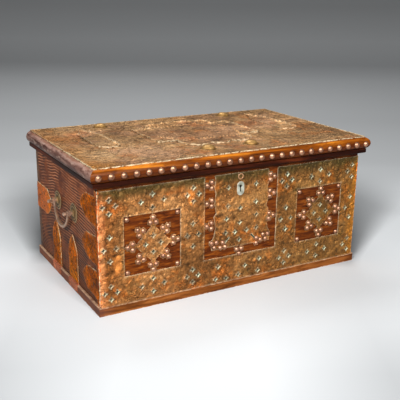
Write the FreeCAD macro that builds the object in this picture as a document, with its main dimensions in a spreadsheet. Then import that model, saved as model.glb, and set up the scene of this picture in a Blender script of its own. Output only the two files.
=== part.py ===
import FreeCAD, Part
import math
import os
import Sketcher

# Arab dowry chest: a low hardwood box with a hinged moulded lid, faced with pierced sheet brass,
# studded with domed nails, with a drop handle on each end and a lock behind the front board.
# X runs along the width, Y from front to back, Z up; the origin is at the centre of the base.
# All sizes are in millimetres.

SIZES = {
    # Carcass
    "body_width": 600,
    "body_depth": 366,
    "rim_height": 259.5,
    "board_thick": 16,
    "bottom_thick": 12,
    "bottom_rise": 6,
    # Plinth
    "plinth_height": 18,
    "front_plinth_height": 15.7,
    "plinth_thick": 4,
    "plinth_round": 1.5,
    # Lid
    "lid_thick": 24.5,
    "lid_overhang": 18,
    "lid_back_overhang": 5,
    "nosing_depth": 16,
    "nosing_bulge": 9.5,
    "lip_height": 9.5,
    "lip_overhang": 12,
    "lip_gap": 0.6,
    "lip_round": 3,
    # Sheet brass
    "sheet_thick": 0.8,
    "seat_gap": 0.3,
    "cut_over": 2,
    "sheet_top_drop": 17.5,
    "window_size": 117,
    "pattern_shift": 3.3,
    "lock_window_half": 85,
    "lock_window_shift": 4,
    "wrap_band": 11,
    "tab_length": 87,
    "tab_shoulder": 58,
    "tab_height": 50,
    "rear_tab_length": 98,
    "rear_tab_shoulder": 70,
    "rear_tab_height": 57,
    "rear_tab_rise": 143,
    "strap_width": 50,
    "strap_gap": 29,
    "strap_point_length": 33,
    "strap_hem": 1.2,
    # Pierced stars
    "star_tip": 4.7,
    "star_waist": 2.1,
    "star_edge_margin": 6,
    "lozenge_star_pitch": 16,
    # Star plates in the side windows
    "left_plate_shift": 0.9,
    "left_plate_drop": 2.5,
    "right_plate_shift": 4.4,
    "right_plate_drop": -0.5,
    "lozenge_half": 38,
    "trefoil_lobe": 6.8,
    "trefoil_apex": 6.6,
    "trefoil_root": 3.3,
    "trefoil_half": 5.7,
    "trefoil_far_ring": 45.5,
    "trefoil_near_ring": 38,
    # Lock plate, escutcheon and keyhole
    "lock_plate_shift": 4.5,
    "lock_plate_margin": 23,
    "lock_plate_rise": 17.5,
    "lock_plate_wave": 3,
    "slit_length": 13,
    "slit_width": 3,
    "escutcheon_width": 16.5,
    "escutcheon_length": 29,
    "escutcheon_thick": 1.5,
    "keyhole_drop": 46,
    "keyhole_round": 3,
    "keyhole_slot_width": 2.8,
    "keyhole_slot_drop": 11.5,
    "key_bore": 7.6,
    "lock_ring_rise": 20.2,
    "lock_ring_radius": 6.5,
    "lock_ring_height": 1.2,
    "lock_ring_wall": 2.4,
    # Domed nails and bosses
    "nail_radius": 5.6,
    "nail_height": 5,
    "corner_nail_inset": 6.2,
    "edge_nail_radius": 8,
    "edge_nail_height": 8.2,
    "edge_nail_rise": 11.5,
    "edge_nail_inset": 14.5,
    "edge_nail_count": 26,
    "boss_radius": 16.5,
    "boss_height": 9.5,
    "front_boss_half": 50,
    "front_boss_inset": 42,
    "back_boss_half": 160,
    "back_boss_inset": 31,
    # Overlays on the lid
    "overlay_front_inset": 130,
    "overlay_back_inset": 101,
    "centre_overlay_half": 122,
    "centre_overlay_shift": 6,
    "centre_lobe_half": 78,
    "centre_lobe_depth": 56,
    "centre_crown_depth": 60,
    "side_overlay_half": 23,
    "side_overlay_place": 216,
    "side_overlay_tail": 60,
    "side_overlay_toe": 12,
    # Drop handles
    "handle_drop": 93.5,
    "handle_shift": 7.5,
    "handle_half": 47.5,
    "rose_radius": 20,
    "rose_height": 4.2,
    "post_radius": 3,
    "post_fit": 0.05,
    "pivot_reach": 10.5,
    "eye_radius": 5.8,
    "eye_half_thick": 2.2,
    "finial_neck": 1.8,
    "finial_reach": 19.6,
    "finial_radius": 3.8,
    "bail_pin_radius": 2.3,
    "bail_pin_gap": 0.3,
    "bail_half": 40.5,
    "bail_drop": 38.5,
    "bail_grip_radius": 4.3,
    "bail_knob_radius": 3.4,
    "bail_knob_length": 3,
    # Strap hinges
    "leaf_width": 28,
    "leaf_thick": 2.5,
    "leaf_drop": 96,
    "lid_strap_length": 126,
    "strap_point": 22,
    "knuckle_radius": 4.5,
    "knuckle_middle": 10,
    "knuckle_gap": 0.4,
    "hinge_pin_radius": 2,
    "hinge_pin_fit": 0.05,
    "heel_length": 13,
    "heel_thick": 2.5,
    "lid_open_angle": 105,
    # Lock and lid catch
    "case_half_width": 62,
    "case_height": 76.3,
    "case_depth": 18,
    "case_wall": 2,
    "case_top_gap": 0.7,
    "loop_half": 35,
    "loop_place": 9.5,
    "loop_thick": 4,
    "loop_depth": 12,
    "loop_drop": 22,
    "loop_bar": 3,
    "loop_side": 2.3,
    "slot_room": 2,
    "catch_half_width": 66,
    "catch_depth": 40,
    "bolt_thick": 5,
    "bolt_height": 10,
    "bolt_clear": 1,
    "bolt_post": 6,
    "bolt_travel": 10,
    "talon_radius": 4,
    "guide_width": 15,
    "guide_place": 30,
    "guide_height": 10,
}

# How far out the middle of a leaf's curved side stands, as a share of its half height
BULGE_SHARE = 0.66

# Where a side window lies in the room between the lock window and the end of the front board
WINDOW_PLACE_SHARE = 0.534

# The columns and rows of stars lie in the margins round the side windows, at these shares of the
# margin: outward from the lock window, outward from a side window, below it and above it
INNER_COLUMN_SHARE = 0.478
OUTER_COLUMN_SHARE = 0.617
LOW_ROW_SHARE = 0.495
HIGH_ROW_SHARE = 0.431

# How far a group's stars lie from its middle, as shares of a margin and of a window's size
STAR_PITCH_SHARE = 0.24
WIDE_PITCH_SHARE = 0.2

# Loose stars below the lock window, as shares of the inner column's place and of the low row's
# height over the lowest place that a star can have
STRAY_STAR_SHARES = ((-0.44, 1.36), (-0.49, 0.19), (-0.26, 0.09), (0.0, 0.19), (0.145, 0.96),
                     (0.455, 1.36), (0.436, 0.19))

# Middles of the three leaves folded round a corner, and half a neck, as shares of the sheet's
# height and of the least distance between two leaves
TAB_LEVEL_SHARES = (0.177, 0.481, 0.821)
TAB_NECK_SHARE = 0.42

# Places of the two straps along an end, as shares of half the depth
FRONT_STRAP_SHARE = -0.23
REAR_STRAP_SHARE = 0.328

# The lock plate's wavy edge from its foot to its top: outward as a share of the wave, then upward
WAVE_SHARES = ((2.3, 0.0), (2.6, 0.12), (0.6, 0.19), (-0.4, 0.3), (0.9, 0.45), (-0.9, 0.5),
               (0.5, 0.62), (-0.3, 0.76), (0.8, 0.84), (0.0, 0.93), (0.6, 1.0))

# Places on the lock plate as shares of its half width from its middle and of its height
LOCK_STAR_SHARES = ((-0.52, 0.818), (0.52, 0.818), (-0.53, 0.575), (0.53, 0.575), (-0.07, 0.526),
                    (-0.57, 0.4), (0.57, 0.4), (-0.07, 0.325), (-0.6, 0.214), (0.58, 0.214),
                    (-0.25, 0.205), (0.2, 0.205), (-0.08, 0.09))
SLIT_SHARES = ((-0.55, 0.11, 1), (0.46, 0.1, -1))

# Clusters of nails on and round the lock plate: across, up, and quarter turns of their direction
SIDE_CLUSTER_SHARES = ((-1.185, 0.883, 2), (-1.185, 0.646, 2), (-1.185, 0.344, 2),
                       (1.13, 0.883, 0), (1.13, 0.656, 0), (1.13, 0.344, 0), (-0.07, -0.065, 3))
FOOT_CLUSTER_SHARES = ((-1.02, 0.08, 3), (-0.7, 0.045, 1), (0.65, 0.03, 1.35), (0.95, 0.075, 3))

# A lobe's corners as quarter turns from its outward line, and how far out two lobes meet
LOBE_TURN_SHARES = (-0.8, 0.0, 0.8)
LOBE_NOTCH_SHARE = 1.9

# Scallops of the centre overlay: middle and end of each curve as across and outward shares
FRONT_LOBE_SHARES = (((1.05, 0.45), (0.92, 0.86)), ((0.62, 1.06), (0.31, 0.86)),
                     ((0.0, 1.06), (-0.31, 0.86)), ((-0.62, 1.06), (-0.92, 0.86)),
                     ((-1.05, 0.45), (-1.0, 0.0)))
BACK_LOBE_SHARES = (((-1.04, 0.36), (-0.72, 0.6)), ((-0.3, 0.66), (0.0, 1.0)),
                    ((0.3, 0.66), (0.72, 0.6)), ((1.04, 0.36), (1.0, 0.0)))

# Outline of a dome: shares of its radius and height from the rim to the crown
NAIL_TIER_SHARES = ((1.0, 0.0), (0.82, 0.6), (0.0, 1.0))
BOSS_TIER_SHARES = ((1.0, 0.0), (0.97, 0.22), (0.74, 0.66), (0.36, 0.94), (0.0, 1.0))
ROSE_TIER_SHARES = ((1.0, 0.0), (1.0, 0.3), (0.88, 0.5), (0.64, 1.0))
NAIL_SIDES = 8
BOSS_SIDES = 12
ROSE_SIDES = 24
ROD_SIDES = 12
KNUCKLE_SIDES = 16
BORE_SIDES = 16
BOW_STATIONS = 12
BOW_SIDES = 8
ESCUTCHEON_STEPS = 8
SCALLOP_STEPS = 5

doc = FreeCAD.newDocument("dowry_chest")
sheet = doc.addObject("Spreadsheet::Sheet", "sizes")
for row, (alias, number) in enumerate(SIZES.items(), start=1):
    sheet.set("A%d" % row, alias)
    sheet.set("B%d" % row, str(number))
    sheet.setAlias("B%d" % row, alias)
doc.recompute()


def mm(alias):
    return float(sheet.get(alias))


def value_of(expression):
    """The present value of an expression on the sheet."""
    result = sheet.evalExpression(expression)
    return float(getattr(result, "Value", result))


HALF_WIDTH = mm("body_width") / 2
HALF_DEPTH = mm("body_depth") / 2
RIM = mm("rim_height")
BOARD = mm("board_thick")
SKIN = mm("sheet_thick")
OVER = mm("cut_over")
SEAT = mm("seat_gap")
LID_TOP = RIM + mm("lid_thick")
LID_FRONT = -HALF_DEPTH - mm("lid_overhang")
HINGE_Y = HALF_DEPTH + SEAT + mm("knuckle_radius")
HINGE_Z = RIM - SEAT - mm("knuckle_radius")
PIVOT_X = HALF_WIDTH + mm("pivot_reach")
HANDLE_LEVEL = "sizes.rim_height - sizes.handle_drop"
HANDLE_Z = value_of(HANDLE_LEVEL)
KEYHOLE_Z = RIM - mm("keyhole_drop")
BORE_LEVEL = ("sizes.rim_height - sizes.keyhole_drop"
              " + (sizes.keyhole_round - sizes.keyhole_slot_drop) / 2")
SHEET_LOW = mm("front_plinth_height") + SEAT
WRAP_LOW = mm("plinth_height") + SEAT
SHEET_TOP = RIM - mm("sheet_top_drop")
WINDOW_HALF = mm("window_size") / 2
WINDOW_Z = (SHEET_LOW + SHEET_TOP) / 2
WINDOW_ROOM = HALF_WIDTH - mm("lock_window_half") - mm("window_size")
WINDOW_X = mm("lock_window_half") + WINDOW_HALF + WINDOW_PLACE_SHARE * WINDOW_ROOM
LOCK_PLATE_LOW = WINDOW_Z - WINDOW_HALF + mm("lock_plate_rise")
LOCK_PLATE_HALF = mm("lock_window_half") - mm("lock_plate_margin")

X_AXIS = FreeCAD.Vector(1, 0, 0)
Y_AXIS = FreeCAD.Vector(0, 1, 0)
Z_AXIS = FreeCAD.Vector(0, 0, 1)
SIDES = (("left", -1), ("right", 1))
QUARTER = math.pi / 2
EIGHTH = math.pi / 4

pieces = []


def keep(obj, label):
    """Names a finished piece; its label names its node and its file."""
    obj.Label = label
    pieces.append(obj)
    return obj


def solid_piece(label, shape):
    """A piece whose form is worked out here from the sheet's sizes."""
    feature = doc.addObject("Part::Feature", label)
    feature.Shape = shape
    return keep(feature, label)


def box_object(name, length, width, height, x, y, z):
    """A box bound to the sheet by its six expressions."""
    box = doc.addObject("Part::Box", name)
    box.setExpression("Length", length)
    box.setExpression("Width", width)
    box.setExpression("Height", height)
    box.setExpression("Placement.Base.x", x)
    box.setExpression("Placement.Base.y", y)
    box.setExpression("Placement.Base.z", z)
    return box


def rod_object(name, sides, axis, x, y, z, radius, length):
    """A faceted rod bound to the sheet, lying along the given axis."""
    rod = doc.addObject("Part::Prism", name)
    rod.Polygon = sides
    rod.setExpression("Circumradius", radius)
    rod.setExpression("Height", length)
    rod.Placement.Rotation = FreeCAD.Rotation(Z_AXIS, axis)
    rod.setExpression("Placement.Base.x", x)
    rod.setExpression("Placement.Base.y", y)
    rod.setExpression("Placement.Base.z", z)
    return rod


def cut_object(name, base, tools):
    """The base object less every tool object."""
    result = base
    for number, tool in enumerate(tools):
        step = doc.addObject("Part::Cut", "%s_cut_%d" % (name, number))
        step.Base = result
        step.Tool = tool
        result = step
    return result


def ring_pairs(across, up, radius, count, turn):
    """Corners of a regular polygon as pairs of plane coordinates."""
    step = 2 * math.pi / count
    return [(across + radius * math.cos(turn + k * step), up + radius * math.sin(turn + k * step))
            for k in range(count)]


def star_pairs(across, up):
    """Corners of a four-pointed piercing."""
    pairs = []
    for k in range(4):
        for radius, turn in ((mm("star_tip"), 0), (mm("star_waist"), EIGHTH)):
            angle = k * QUARTER + turn
            pairs.append((across + radius * math.cos(angle), up + radius * math.sin(angle)))
    return pairs


def box_pairs(low_across, high_across, low_up, high_up):
    return [(low_across, low_up), (high_across, low_up),
            (high_across, high_up), (low_across, high_up)]


def front_vector(pair):
    """A pair of plane coordinates set on the outside of the front board."""
    return FreeCAD.Vector(pair[0], -HALF_DEPTH, pair[1])


def end_vector(pair):
    """A pair of plane coordinates, depth and height, set on the plane through the origin."""
    return FreeCAD.Vector(0, pair[0], pair[1])


def lid_vector(pair):
    return FreeCAD.Vector(pair[0], pair[1], 0)


def wire_of(place, runs):
    """A closed wire: each run is a point to reach, or the middle and the end of a curve.

    Curves are stepped into short straight edges, as shears leave them.
    """
    here = place(runs[-1][-1])
    corners = []
    for run in runs:
        there = place(run[-1])
        if len(run) == 1:
            corners.append(there)
        else:
            corners += Part.Arc(here, place(run[0]), there).discretize(SCALLOP_STEPS)[1:]
        here = there
    return Part.makePolygon(corners + corners[:1])


def straight(pairs):
    return [(pair,) for pair in pairs]


def polygon_face(place, pairs):
    return Part.Face(wire_of(place, straight(pairs)))


def pierced(face, place, hole_lists):
    """The face with a hole for each list of corners."""
    wires = [wire_of(place, straight(pairs)) for pairs in hole_lists]
    return Part.makeFace([face.OuterWire] + wires, "Part::FaceMakerBullseye")


def arc_pairs(across, up, radius, first, steps):
    """Corners along a half circle that starts at the given quarter turn."""
    return [(across + radius * math.cos((first + 2 * k / steps) * QUARTER),
             up + radius * math.sin((first + 2 * k / steps) * QUARTER)) for k in range(steps + 1)]


def ringed_solid(rings, split):
    """A solid with flat facets between matching rings of corners, each split in two if asked."""
    patches = [ring for ring in (rings[0], rings[-1]) if len(ring) > 1]
    for low, high in zip(rings, rings[1:]):
        for k in range(len(low)):
            if len(high) == 1:
                patches.append([low[k - 1], low[k], high[0]])
                continue
            corners = [low[k - 1], low[k], high[k], high[k - 1]]
            if split:
                patches += [corners[:3], corners[2:] + corners[:1]]
            else:
                patches.append(corners)
    faces = [Part.Face(Part.makePolygon(patch + patch[:1])) for patch in patches]
    shell = Part.makeShell(faces)
    shell.sewShape()
    return Part.makeSolid(shell)


def largest(shape):
    return max(shape.Faces, key=lambda face: face.Area)


def united(faces):
    return faces[0].fuse(faces[1:]).removeSplitter()


def mirrored(shape):
    return shape.mirror(FreeCAD.Vector(), X_AXIS)


def both_ends(name, left_shape):
    """A piece for the left end and its mirror image for the right end."""
    solid_piece("left_" + name, left_shape)
    solid_piece("right_" + name, mirrored(left_shape))


# Carcass boards


def make_boards():
    bore = rod_object("key_bore_tool", BORE_SIDES, Y_AXIS, "0",
                      "-sizes.body_depth / 2 - sizes.cut_over", BORE_LEVEL,
                      "sizes.key_bore", "sizes.board_thick + 2 * sizes.cut_over")
    front = box_object("front_blank", "sizes.body_width", "sizes.board_thick", "sizes.rim_height",
                       "-sizes.body_width / 2", "-sizes.body_depth / 2", "0")
    keep(cut_object("front_board", front, [bore]), "front_board")

    back = box_object("back_blank", "sizes.body_width", "sizes.board_thick", "sizes.rim_height",
                      "-sizes.body_width / 2", "sizes.body_depth / 2 - sizes.board_thick", "0")
    notches = []
    for side, sign in SIDES:
        notches.append(box_object(
            side + "_strap_notch", "sizes.leaf_width + 2 * sizes.seat_gap",
            "sizes.board_thick + 2 * sizes.cut_over",
            "sizes.leaf_thick + sizes.seat_gap + sizes.cut_over",
            "%d * sizes.back_boss_half - sizes.leaf_width / 2 - sizes.seat_gap" % sign,
            "sizes.body_depth / 2 - sizes.board_thick - sizes.cut_over",
            "sizes.rim_height - sizes.leaf_thick - sizes.seat_gap"))
    keep(cut_object("back_board", back, notches), "back_board")

    for side, sign in SIDES:
        place = "-sizes.body_width / 2" if sign < 0 else "sizes.body_width / 2 - sizes.board_thick"
        blank = box_object(side + "_end_blank", "sizes.board_thick",
                           "sizes.body_depth - 2 * sizes.board_thick", "sizes.rim_height",
                           place, "-sizes.body_depth / 2 + sizes.board_thick", "0")
        drills = []
        for end, way in (("front", -1), ("rear", 1)):
            drills.append(rod_object(
                "%s_%s_drill" % (side, end), ROD_SIDES, X_AXIS, place + " - sizes.cut_over",
                "-sizes.handle_shift + %d * sizes.handle_half" % way, HANDLE_LEVEL,
                "(sizes.post_radius + sizes.post_fit) / cos(180 deg / %d)" % ROD_SIDES,
                "sizes.board_thick + 2 * sizes.cut_over"))
        keep(cut_object(side + "_end", blank, drills), side + "_end_board")

    floor = box_object("bottom_board_blank", "sizes.body_width - 2 * sizes.board_thick",
                       "sizes.body_depth - 2 * sizes.board_thick", "sizes.bottom_thick",
                       "-sizes.body_width / 2 + sizes.board_thick",
                       "-sizes.body_depth / 2 + sizes.board_thick", "sizes.bottom_rise")
    keep(floor, "bottom_board")


# Mouldings: a sketched section padded along the board that carries it


def plane_of(body, role):
    for feature in body.Origin.OriginFeatures:
        if feature.Role == role:
            return feature
    raise ValueError(role)


def bind(sketch, kind, where, expression):
    """A dimension of the sketch that follows the sheet."""
    constraint = Sketcher.Constraint(kind, -1, 1, where[0], where[1], value_of(expression))
    sketch.setExpression("Constraints[%d]" % sketch.addConstraint(constraint), expression)


def closed_sketch(body, name, role, corners, arc_edge=None, arc_top=None, arc_centre=None):
    """Corners in order round the section; one edge may be an arc through arc_top."""
    sketch = body.newObject("Sketcher::SketchObject", name)
    sketch.AttachmentSupport = [(plane_of(body, role), "")]
    sketch.MapMode = "FlatFace"
    points = [FreeCAD.Vector(value_of(a), value_of(b), 0) for a, b in corners]
    count = len(points)
    ends = []
    for k in range(count):
        ahead = points[(k + 1) % count]
        ends.append((1, 2))
        if k != arc_edge:
            sketch.addGeometry(Part.LineSegment(points[k], ahead), False)
            continue
        top = FreeCAD.Vector(value_of(arc_top[0]), value_of(arc_top[1]), 0)
        sketch.addGeometry(Part.Arc(points[k], top, ahead), False)
        if (top - points[k]).cross(ahead - points[k]).z < 0:
            ends[k] = (2, 1)
    for k in range(count):
        ahead = (k + 1) % count
        sketch.addConstraint(Sketcher.Constraint("Coincident", k, ends[k][1], ahead, ends[ahead][0]))
        bind(sketch, "DistanceX", (k, ends[k][0]), corners[k][0])
        bind(sketch, "DistanceY", (k, ends[k][0]), corners[k][1])
    if arc_edge is not None:
        bind(sketch, "DistanceX", (arc_edge, 3), arc_centre)
    return sketch


def moulding(label, role, section, length, offset, mitres):
    """The section is padded both ways from the middle of its run, then mitred from above."""
    body = doc.addObject("PartDesign::Body", label)
    sketch = closed_sketch(body, label + "_section", role, *section)
    sketch.setExpression("AttachmentOffset.Base.z", offset)
    pad = body.newObject("PartDesign::Pad", label + "_run")
    pad.Profile = sketch
    pad.Midplane = True
    pad.setExpression("Length", length)
    doc.recompute()
    for number, corners in enumerate(mitres):
        before = body.Shape.Volume
        mitre = closed_sketch(body, "%s_mitre_%d" % (label, number), "XY_Plane", corners)
        pocket = body.newObject("PartDesign::Pocket", "%s_mitred_%d" % (label, number))
        pocket.Profile = mitre
        pocket.Type = "ThroughAll"
        pocket.Midplane = True
        body.Tip = pocket
        doc.recompute()
        if body.Shape.Volume >= before:
            raise ValueError("the mitre of %s cuts nothing" % label)
    return keep(body, label)


def mitre_corners(sign, inner_x, inner_y, keep_front):
    """The triangle beyond a mitre that starts at an inner corner and runs out at 45 degrees."""
    reach = "sizes.lid_overhang + sizes.cut_over"
    tip = ("%d * (%s + %s)" % (sign, inner_x, reach), "-(%s + %s)" % (inner_y, reach))
    inner = ("%d * (%s)" % (sign, inner_x), "-(%s)" % inner_y)
    if keep_front:
        third = (tip[0], "-(%s) + sizes.cut_over" % inner_y)
    else:
        third = ("%d * (%s - sizes.cut_over)" % (sign, inner_x), tip[1])
    return [inner, tip, third]


def make_nosings():
    out_x = "sizes.body_width / 2 + sizes.lid_overhang"
    out_y = "sizes.body_depth / 2 + sizes.lid_overhang"
    in_x = "sizes.body_width / 2 + sizes.lid_overhang - sizes.nosing_depth"
    in_y = "sizes.body_depth / 2 + sizes.lid_overhang - sizes.nosing_depth"
    low = "sizes.rim_height"
    high = "sizes.rim_height + sizes.lid_thick"
    middle = "sizes.rim_height + sizes.lid_thick / 2"
    radius = "(sizes.nosing_bulge ^ 2 + sizes.lid_thick ^ 2 / 4) / (2 * sizes.nosing_bulge)"

    def section(sign, inner, outer):
        start = "%d * (%s - sizes.nosing_bulge)" % (sign, outer)
        corners = [("%d * (%s)" % (sign, inner), low), (start, low), (start, high),
                   ("%d * (%s)" % (sign, inner), high)]
        top = ("%d * (%s)" % (sign, outer), middle)
        return corners, 1, top, "%d * (%s - %s)" % (sign, outer, radius)

    moulding("front_nosing", "YZ_Plane", section(-1, in_y, out_y), "2 * (%s)" % out_x, "0",
             [mitre_corners(-1, in_x, in_y, True), mitre_corners(1, in_x, in_y, True)])
    run = "%s + sizes.body_depth / 2 + sizes.lid_back_overhang" % out_y
    offset = "(sizes.lid_overhang - sizes.lid_back_overhang) / 2"
    for side, sign in SIDES:
        moulding(side + "_nosing", "XZ_Plane", section(sign, in_x, out_x), run, offset,
                 [mitre_corners(sign, in_x, in_y, False)])


def make_lips():
    gap = "sizes.sheet_thick + sizes.lip_gap"
    in_x = "sizes.body_width / 2 + " + gap
    in_y = "sizes.body_depth / 2 + " + gap
    out_x = "sizes.body_width / 2 + sizes.lip_overhang"
    out_y = "sizes.body_depth / 2 + sizes.lip_overhang"
    low = "sizes.rim_height - sizes.lip_height"
    high = "sizes.rim_height"
    turn = "sizes.lip_round * (1 - 0.5 ^ 0.5)"

    def section(sign, inner, outer):
        corners = [("%d * (%s)" % (sign, inner), low),
                   ("%d * (%s - sizes.lip_round)" % (sign, outer), low),
                   ("%d * (%s)" % (sign, outer), low + " + sizes.lip_round"),
                   ("%d * (%s)" % (sign, outer), high), ("%d * (%s)" % (sign, inner), high)]
        top = ("%d * (%s - %s)" % (sign, outer, turn), "%s + %s" % (low, turn))
        return corners, 1, top, "%d * (%s - sizes.lip_round)" % (sign, outer)

    moulding("front_lip", "YZ_Plane", section(-1, in_y, out_y), "2 * (%s)" % out_x, "0",
             [mitre_corners(-1, in_x, in_y, True), mitre_corners(1, in_x, in_y, True)])
    run = "%s + sizes.body_depth / 2 + sizes.lid_back_overhang" % out_y
    offset = "(sizes.lip_overhang - sizes.lid_back_overhang) / 2"
    for side, sign in SIDES:
        moulding(side + "_lip", "XZ_Plane", section(sign, in_x, out_x), run, offset,
                 [mitre_corners(sign, in_x, in_y, False)])


def make_plinths():
    def section(sign, half, height):
        outer = "%s + sizes.plinth_thick" % half
        turn = "sizes.plinth_round * (1 - 0.5 ^ 0.5)"
        corners = [("%d * (%s)" % (sign, half), "0"), ("%d * (%s)" % (sign, outer), "0"),
                   ("%d * (%s)" % (sign, outer), height + " - sizes.plinth_round"),
                   ("%d * (%s - sizes.plinth_round)" % (sign, outer), height),
                   ("%d * (%s)" % (sign, half), height)]
        top = ("%d * (%s - %s)" % (sign, outer, turn), "%s - %s" % (height, turn))
        return corners, 2, top, "%d * (%s - sizes.plinth_round)" % (sign, outer)

    for side, sign in SIDES:
        moulding(side + "_plinth", "XZ_Plane",
                 section(sign, "sizes.body_width / 2", "sizes.plinth_height"),
                 "sizes.body_depth + 2 * sizes.plinth_thick", "0", [])
    moulding("front_plinth", "YZ_Plane",
             section(-1, "sizes.body_depth / 2", "sizes.front_plinth_height"),
             "sizes.body_width", "0", [])
    moulding("back_plinth", "YZ_Plane", section(1, "sizes.body_depth / 2", "sizes.plinth_height"),
             "sizes.body_width", "0", [])


# Sheet brass of the front


def window_centre(sign):
    return mm("pattern_shift") + sign * WINDOW_X


def window_pairs(sign, inset):
    """Corners of a square side window, drawn in by the inset."""
    half = WINDOW_HALF - inset
    across = window_centre(sign)
    return box_pairs(across - half, across + half, WINDOW_Z - half, WINDOW_Z + half)


def lock_window_pairs(inset):
    """Corners of the open-topped window that frames the lock plate."""
    middle = mm("lock_window_shift")
    half = mm("lock_window_half") - inset
    return box_pairs(middle - half, middle + half, WINDOW_Z - WINDOW_HALF + inset, SHEET_TOP)


def star_group(across, up, half_across, half_up):
    return [(across, up + half_up), (across, up - half_up),
            (across - half_across, up), (across + half_across, up)]


def front_star_places():
    """Groups of four stars round the side windows, and loose ones below the lock window."""
    inner_margin = WINDOW_X - WINDOW_HALF - mm("lock_window_half")
    outer_margin = HALF_WIDTH - WINDOW_X - WINDOW_HALF
    inner_column = mm("lock_window_half") + INNER_COLUMN_SHARE * inner_margin
    outer_column = WINDOW_X + WINDOW_HALF + OUTER_COLUMN_SHARE * outer_margin
    row_margin = SHEET_TOP - WINDOW_Z - WINDOW_HALF
    low_row = SHEET_LOW + LOW_ROW_SHARE * row_margin
    high_row = WINDOW_Z + WINDOW_HALF + HIGH_ROW_SHARE * row_margin
    across_pitch = STAR_PITCH_SHARE * inner_margin
    up_pitch = STAR_PITCH_SHARE * row_margin
    wide = WIDE_PITCH_SHARE * mm("window_size")
    places = []
    for sign in (-1, 1):
        for column in (outer_column, inner_column):
            across = mm("pattern_shift") + sign * column
            places += star_group(across, high_row, across_pitch, up_pitch)
            places += star_group(across, WINDOW_Z, across_pitch, wide)
            places += star_group(across, low_row, across_pitch, up_pitch)
        for level in (high_row, low_row):
            places += star_group(window_centre(sign), level, wide, up_pitch)
    lowest = SHEET_LOW + mm("star_tip")
    for across_share, up_share in STRAY_STAR_SHARES:
        places.append((across_share * inner_column, lowest + up_share * (low_row - lowest)))
    limit = HALF_WIDTH - mm("star_edge_margin")
    return [place for place in places if abs(place[0]) < limit]


def end_wrap_runs():
    """The edge of the sheet folded round a corner: a band with three pointed leaves."""
    corner = -HALF_DEPTH - SKIN
    band = -HALF_DEPTH + mm("wrap_band")
    shoulder = -HALF_DEPTH + mm("tab_shoulder")
    tip = -HALF_DEPTH + mm("tab_length")
    bulge = (shoulder + tip) / 2
    half = mm("tab_height") / 2
    levels = [WRAP_LOW + share * (SHEET_TOP - WRAP_LOW) for share in TAB_LEVEL_SHARES]
    neck = TAB_NECK_SHARE * (levels[1] - levels[0])
    runs = [((corner, WRAP_LOW),), ((band, WRAP_LOW),)]
    for level in levels:
        runs.append(((band, level - neck),))
        runs.append(((shoulder, level - half),))
        runs.append(((bulge, level - half * BULGE_SHARE), (tip, level)))
        runs.append(((bulge, level + half * BULGE_SHARE), (shoulder, level + half)))
        runs.append(((band, level + neck),))
    runs.append(((band, SHEET_TOP),))
    runs.append(((corner, SHEET_TOP),))
    return runs


def make_front_sheet():
    side = HALF_WIDTH + SKIN
    inner = HALF_WIDTH - SEAT
    (lock_left, lock_low), (lock_right, _) = lock_window_pairs(0)[:2]
    outline = [(-inner, SHEET_LOW), (inner, SHEET_LOW), (inner, WRAP_LOW), (side, WRAP_LOW),
               (side, SHEET_TOP), (lock_right, SHEET_TOP), (lock_right, lock_low),
               (lock_left, lock_low), (lock_left, SHEET_TOP), (-side, SHEET_TOP),
               (-side, WRAP_LOW), (-inner, WRAP_LOW)]
    holes = [window_pairs(-1, 0), window_pairs(1, 0)]
    holes += [star_pairs(*place) for place in front_star_places()]
    face = pierced(polygon_face(front_vector, outline), front_vector, holes)
    panel = face.extrude(FreeCAD.Vector(0, -SKIN, 0))
    wrap = Part.Face(wire_of(end_vector, end_wrap_runs())).extrude(FreeCAD.Vector(SKIN, 0, 0))
    left_wrap = wrap.translated(FreeCAD.Vector(-HALF_WIDTH - SKIN, 0, 0))
    solid_piece("front_sheet", panel.fuse([left_wrap, mirrored(left_wrap)]).removeSplitter())


# Clusters of three nails: each lies at a centroid and points along a direction


def cluster(across, up, angle):
    """The three nail places of a cluster whose single nail points along the angle."""
    out = (math.cos(angle), math.sin(angle))
    side = (-out[1], out[0])
    apex = mm("trefoil_apex")
    root = mm("trefoil_root")
    half = mm("trefoil_half")
    places = [(across + apex * out[0], up + apex * out[1])]
    for way in (-1, 1):
        places.append((across - root * out[0] + way * half * side[0],
                       up - root * out[1] + way * half * side[1]))
    return places


def lobes(clusters):
    """Three-lobed faces of the sheet, one under each cluster of nails."""
    faces = []
    reach = mm("trefoil_lobe")
    for places in clusters:
        across = sum(place[0] for place in places) / 3
        up = sum(place[1] for place in places) / 3
        round_order = (places[0], places[2], places[1])
        corners = []
        for here, ahead in zip(round_order, round_order[1:] + round_order[:1]):
            angle = math.atan2(here[1] - up, here[0] - across)
            for turns in LOBE_TURN_SHARES:
                corners.append((here[0] + reach * math.cos(angle + turns * QUARTER),
                                here[1] + reach * math.sin(angle + turns * QUARTER)))
            corners.append((across + LOBE_NOTCH_SHARE * ((here[0] + ahead[0]) / 2 - across),
                            up + LOBE_NOTCH_SHARE * ((here[1] + ahead[1]) / 2 - up)))
        faces.append(polygon_face(front_vector, corners))
    return faces


def webs(clusters, hub):
    """Faces of the sheet that tie each cluster's two root nails to the hub of their plate."""
    return [polygon_face(front_vector, [hub] + places[1:]) for places in clusters]


def plate_centre(side, sign):
    return (window_centre(sign) + mm(side + "_plate_shift"),
            WINDOW_Z - mm(side + "_plate_drop"))


def window_clusters(side, sign):
    across, up = plate_centre(side, sign)
    clusters = []
    for k in range(8):
        angle = k * EIGHTH
        ring = mm("trefoil_far_ring") if k % 2 == 0 else mm("trefoil_near_ring")
        clusters.append(cluster(across + ring * math.cos(angle), up + ring * math.sin(angle),
                                angle))
    return clusters


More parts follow.
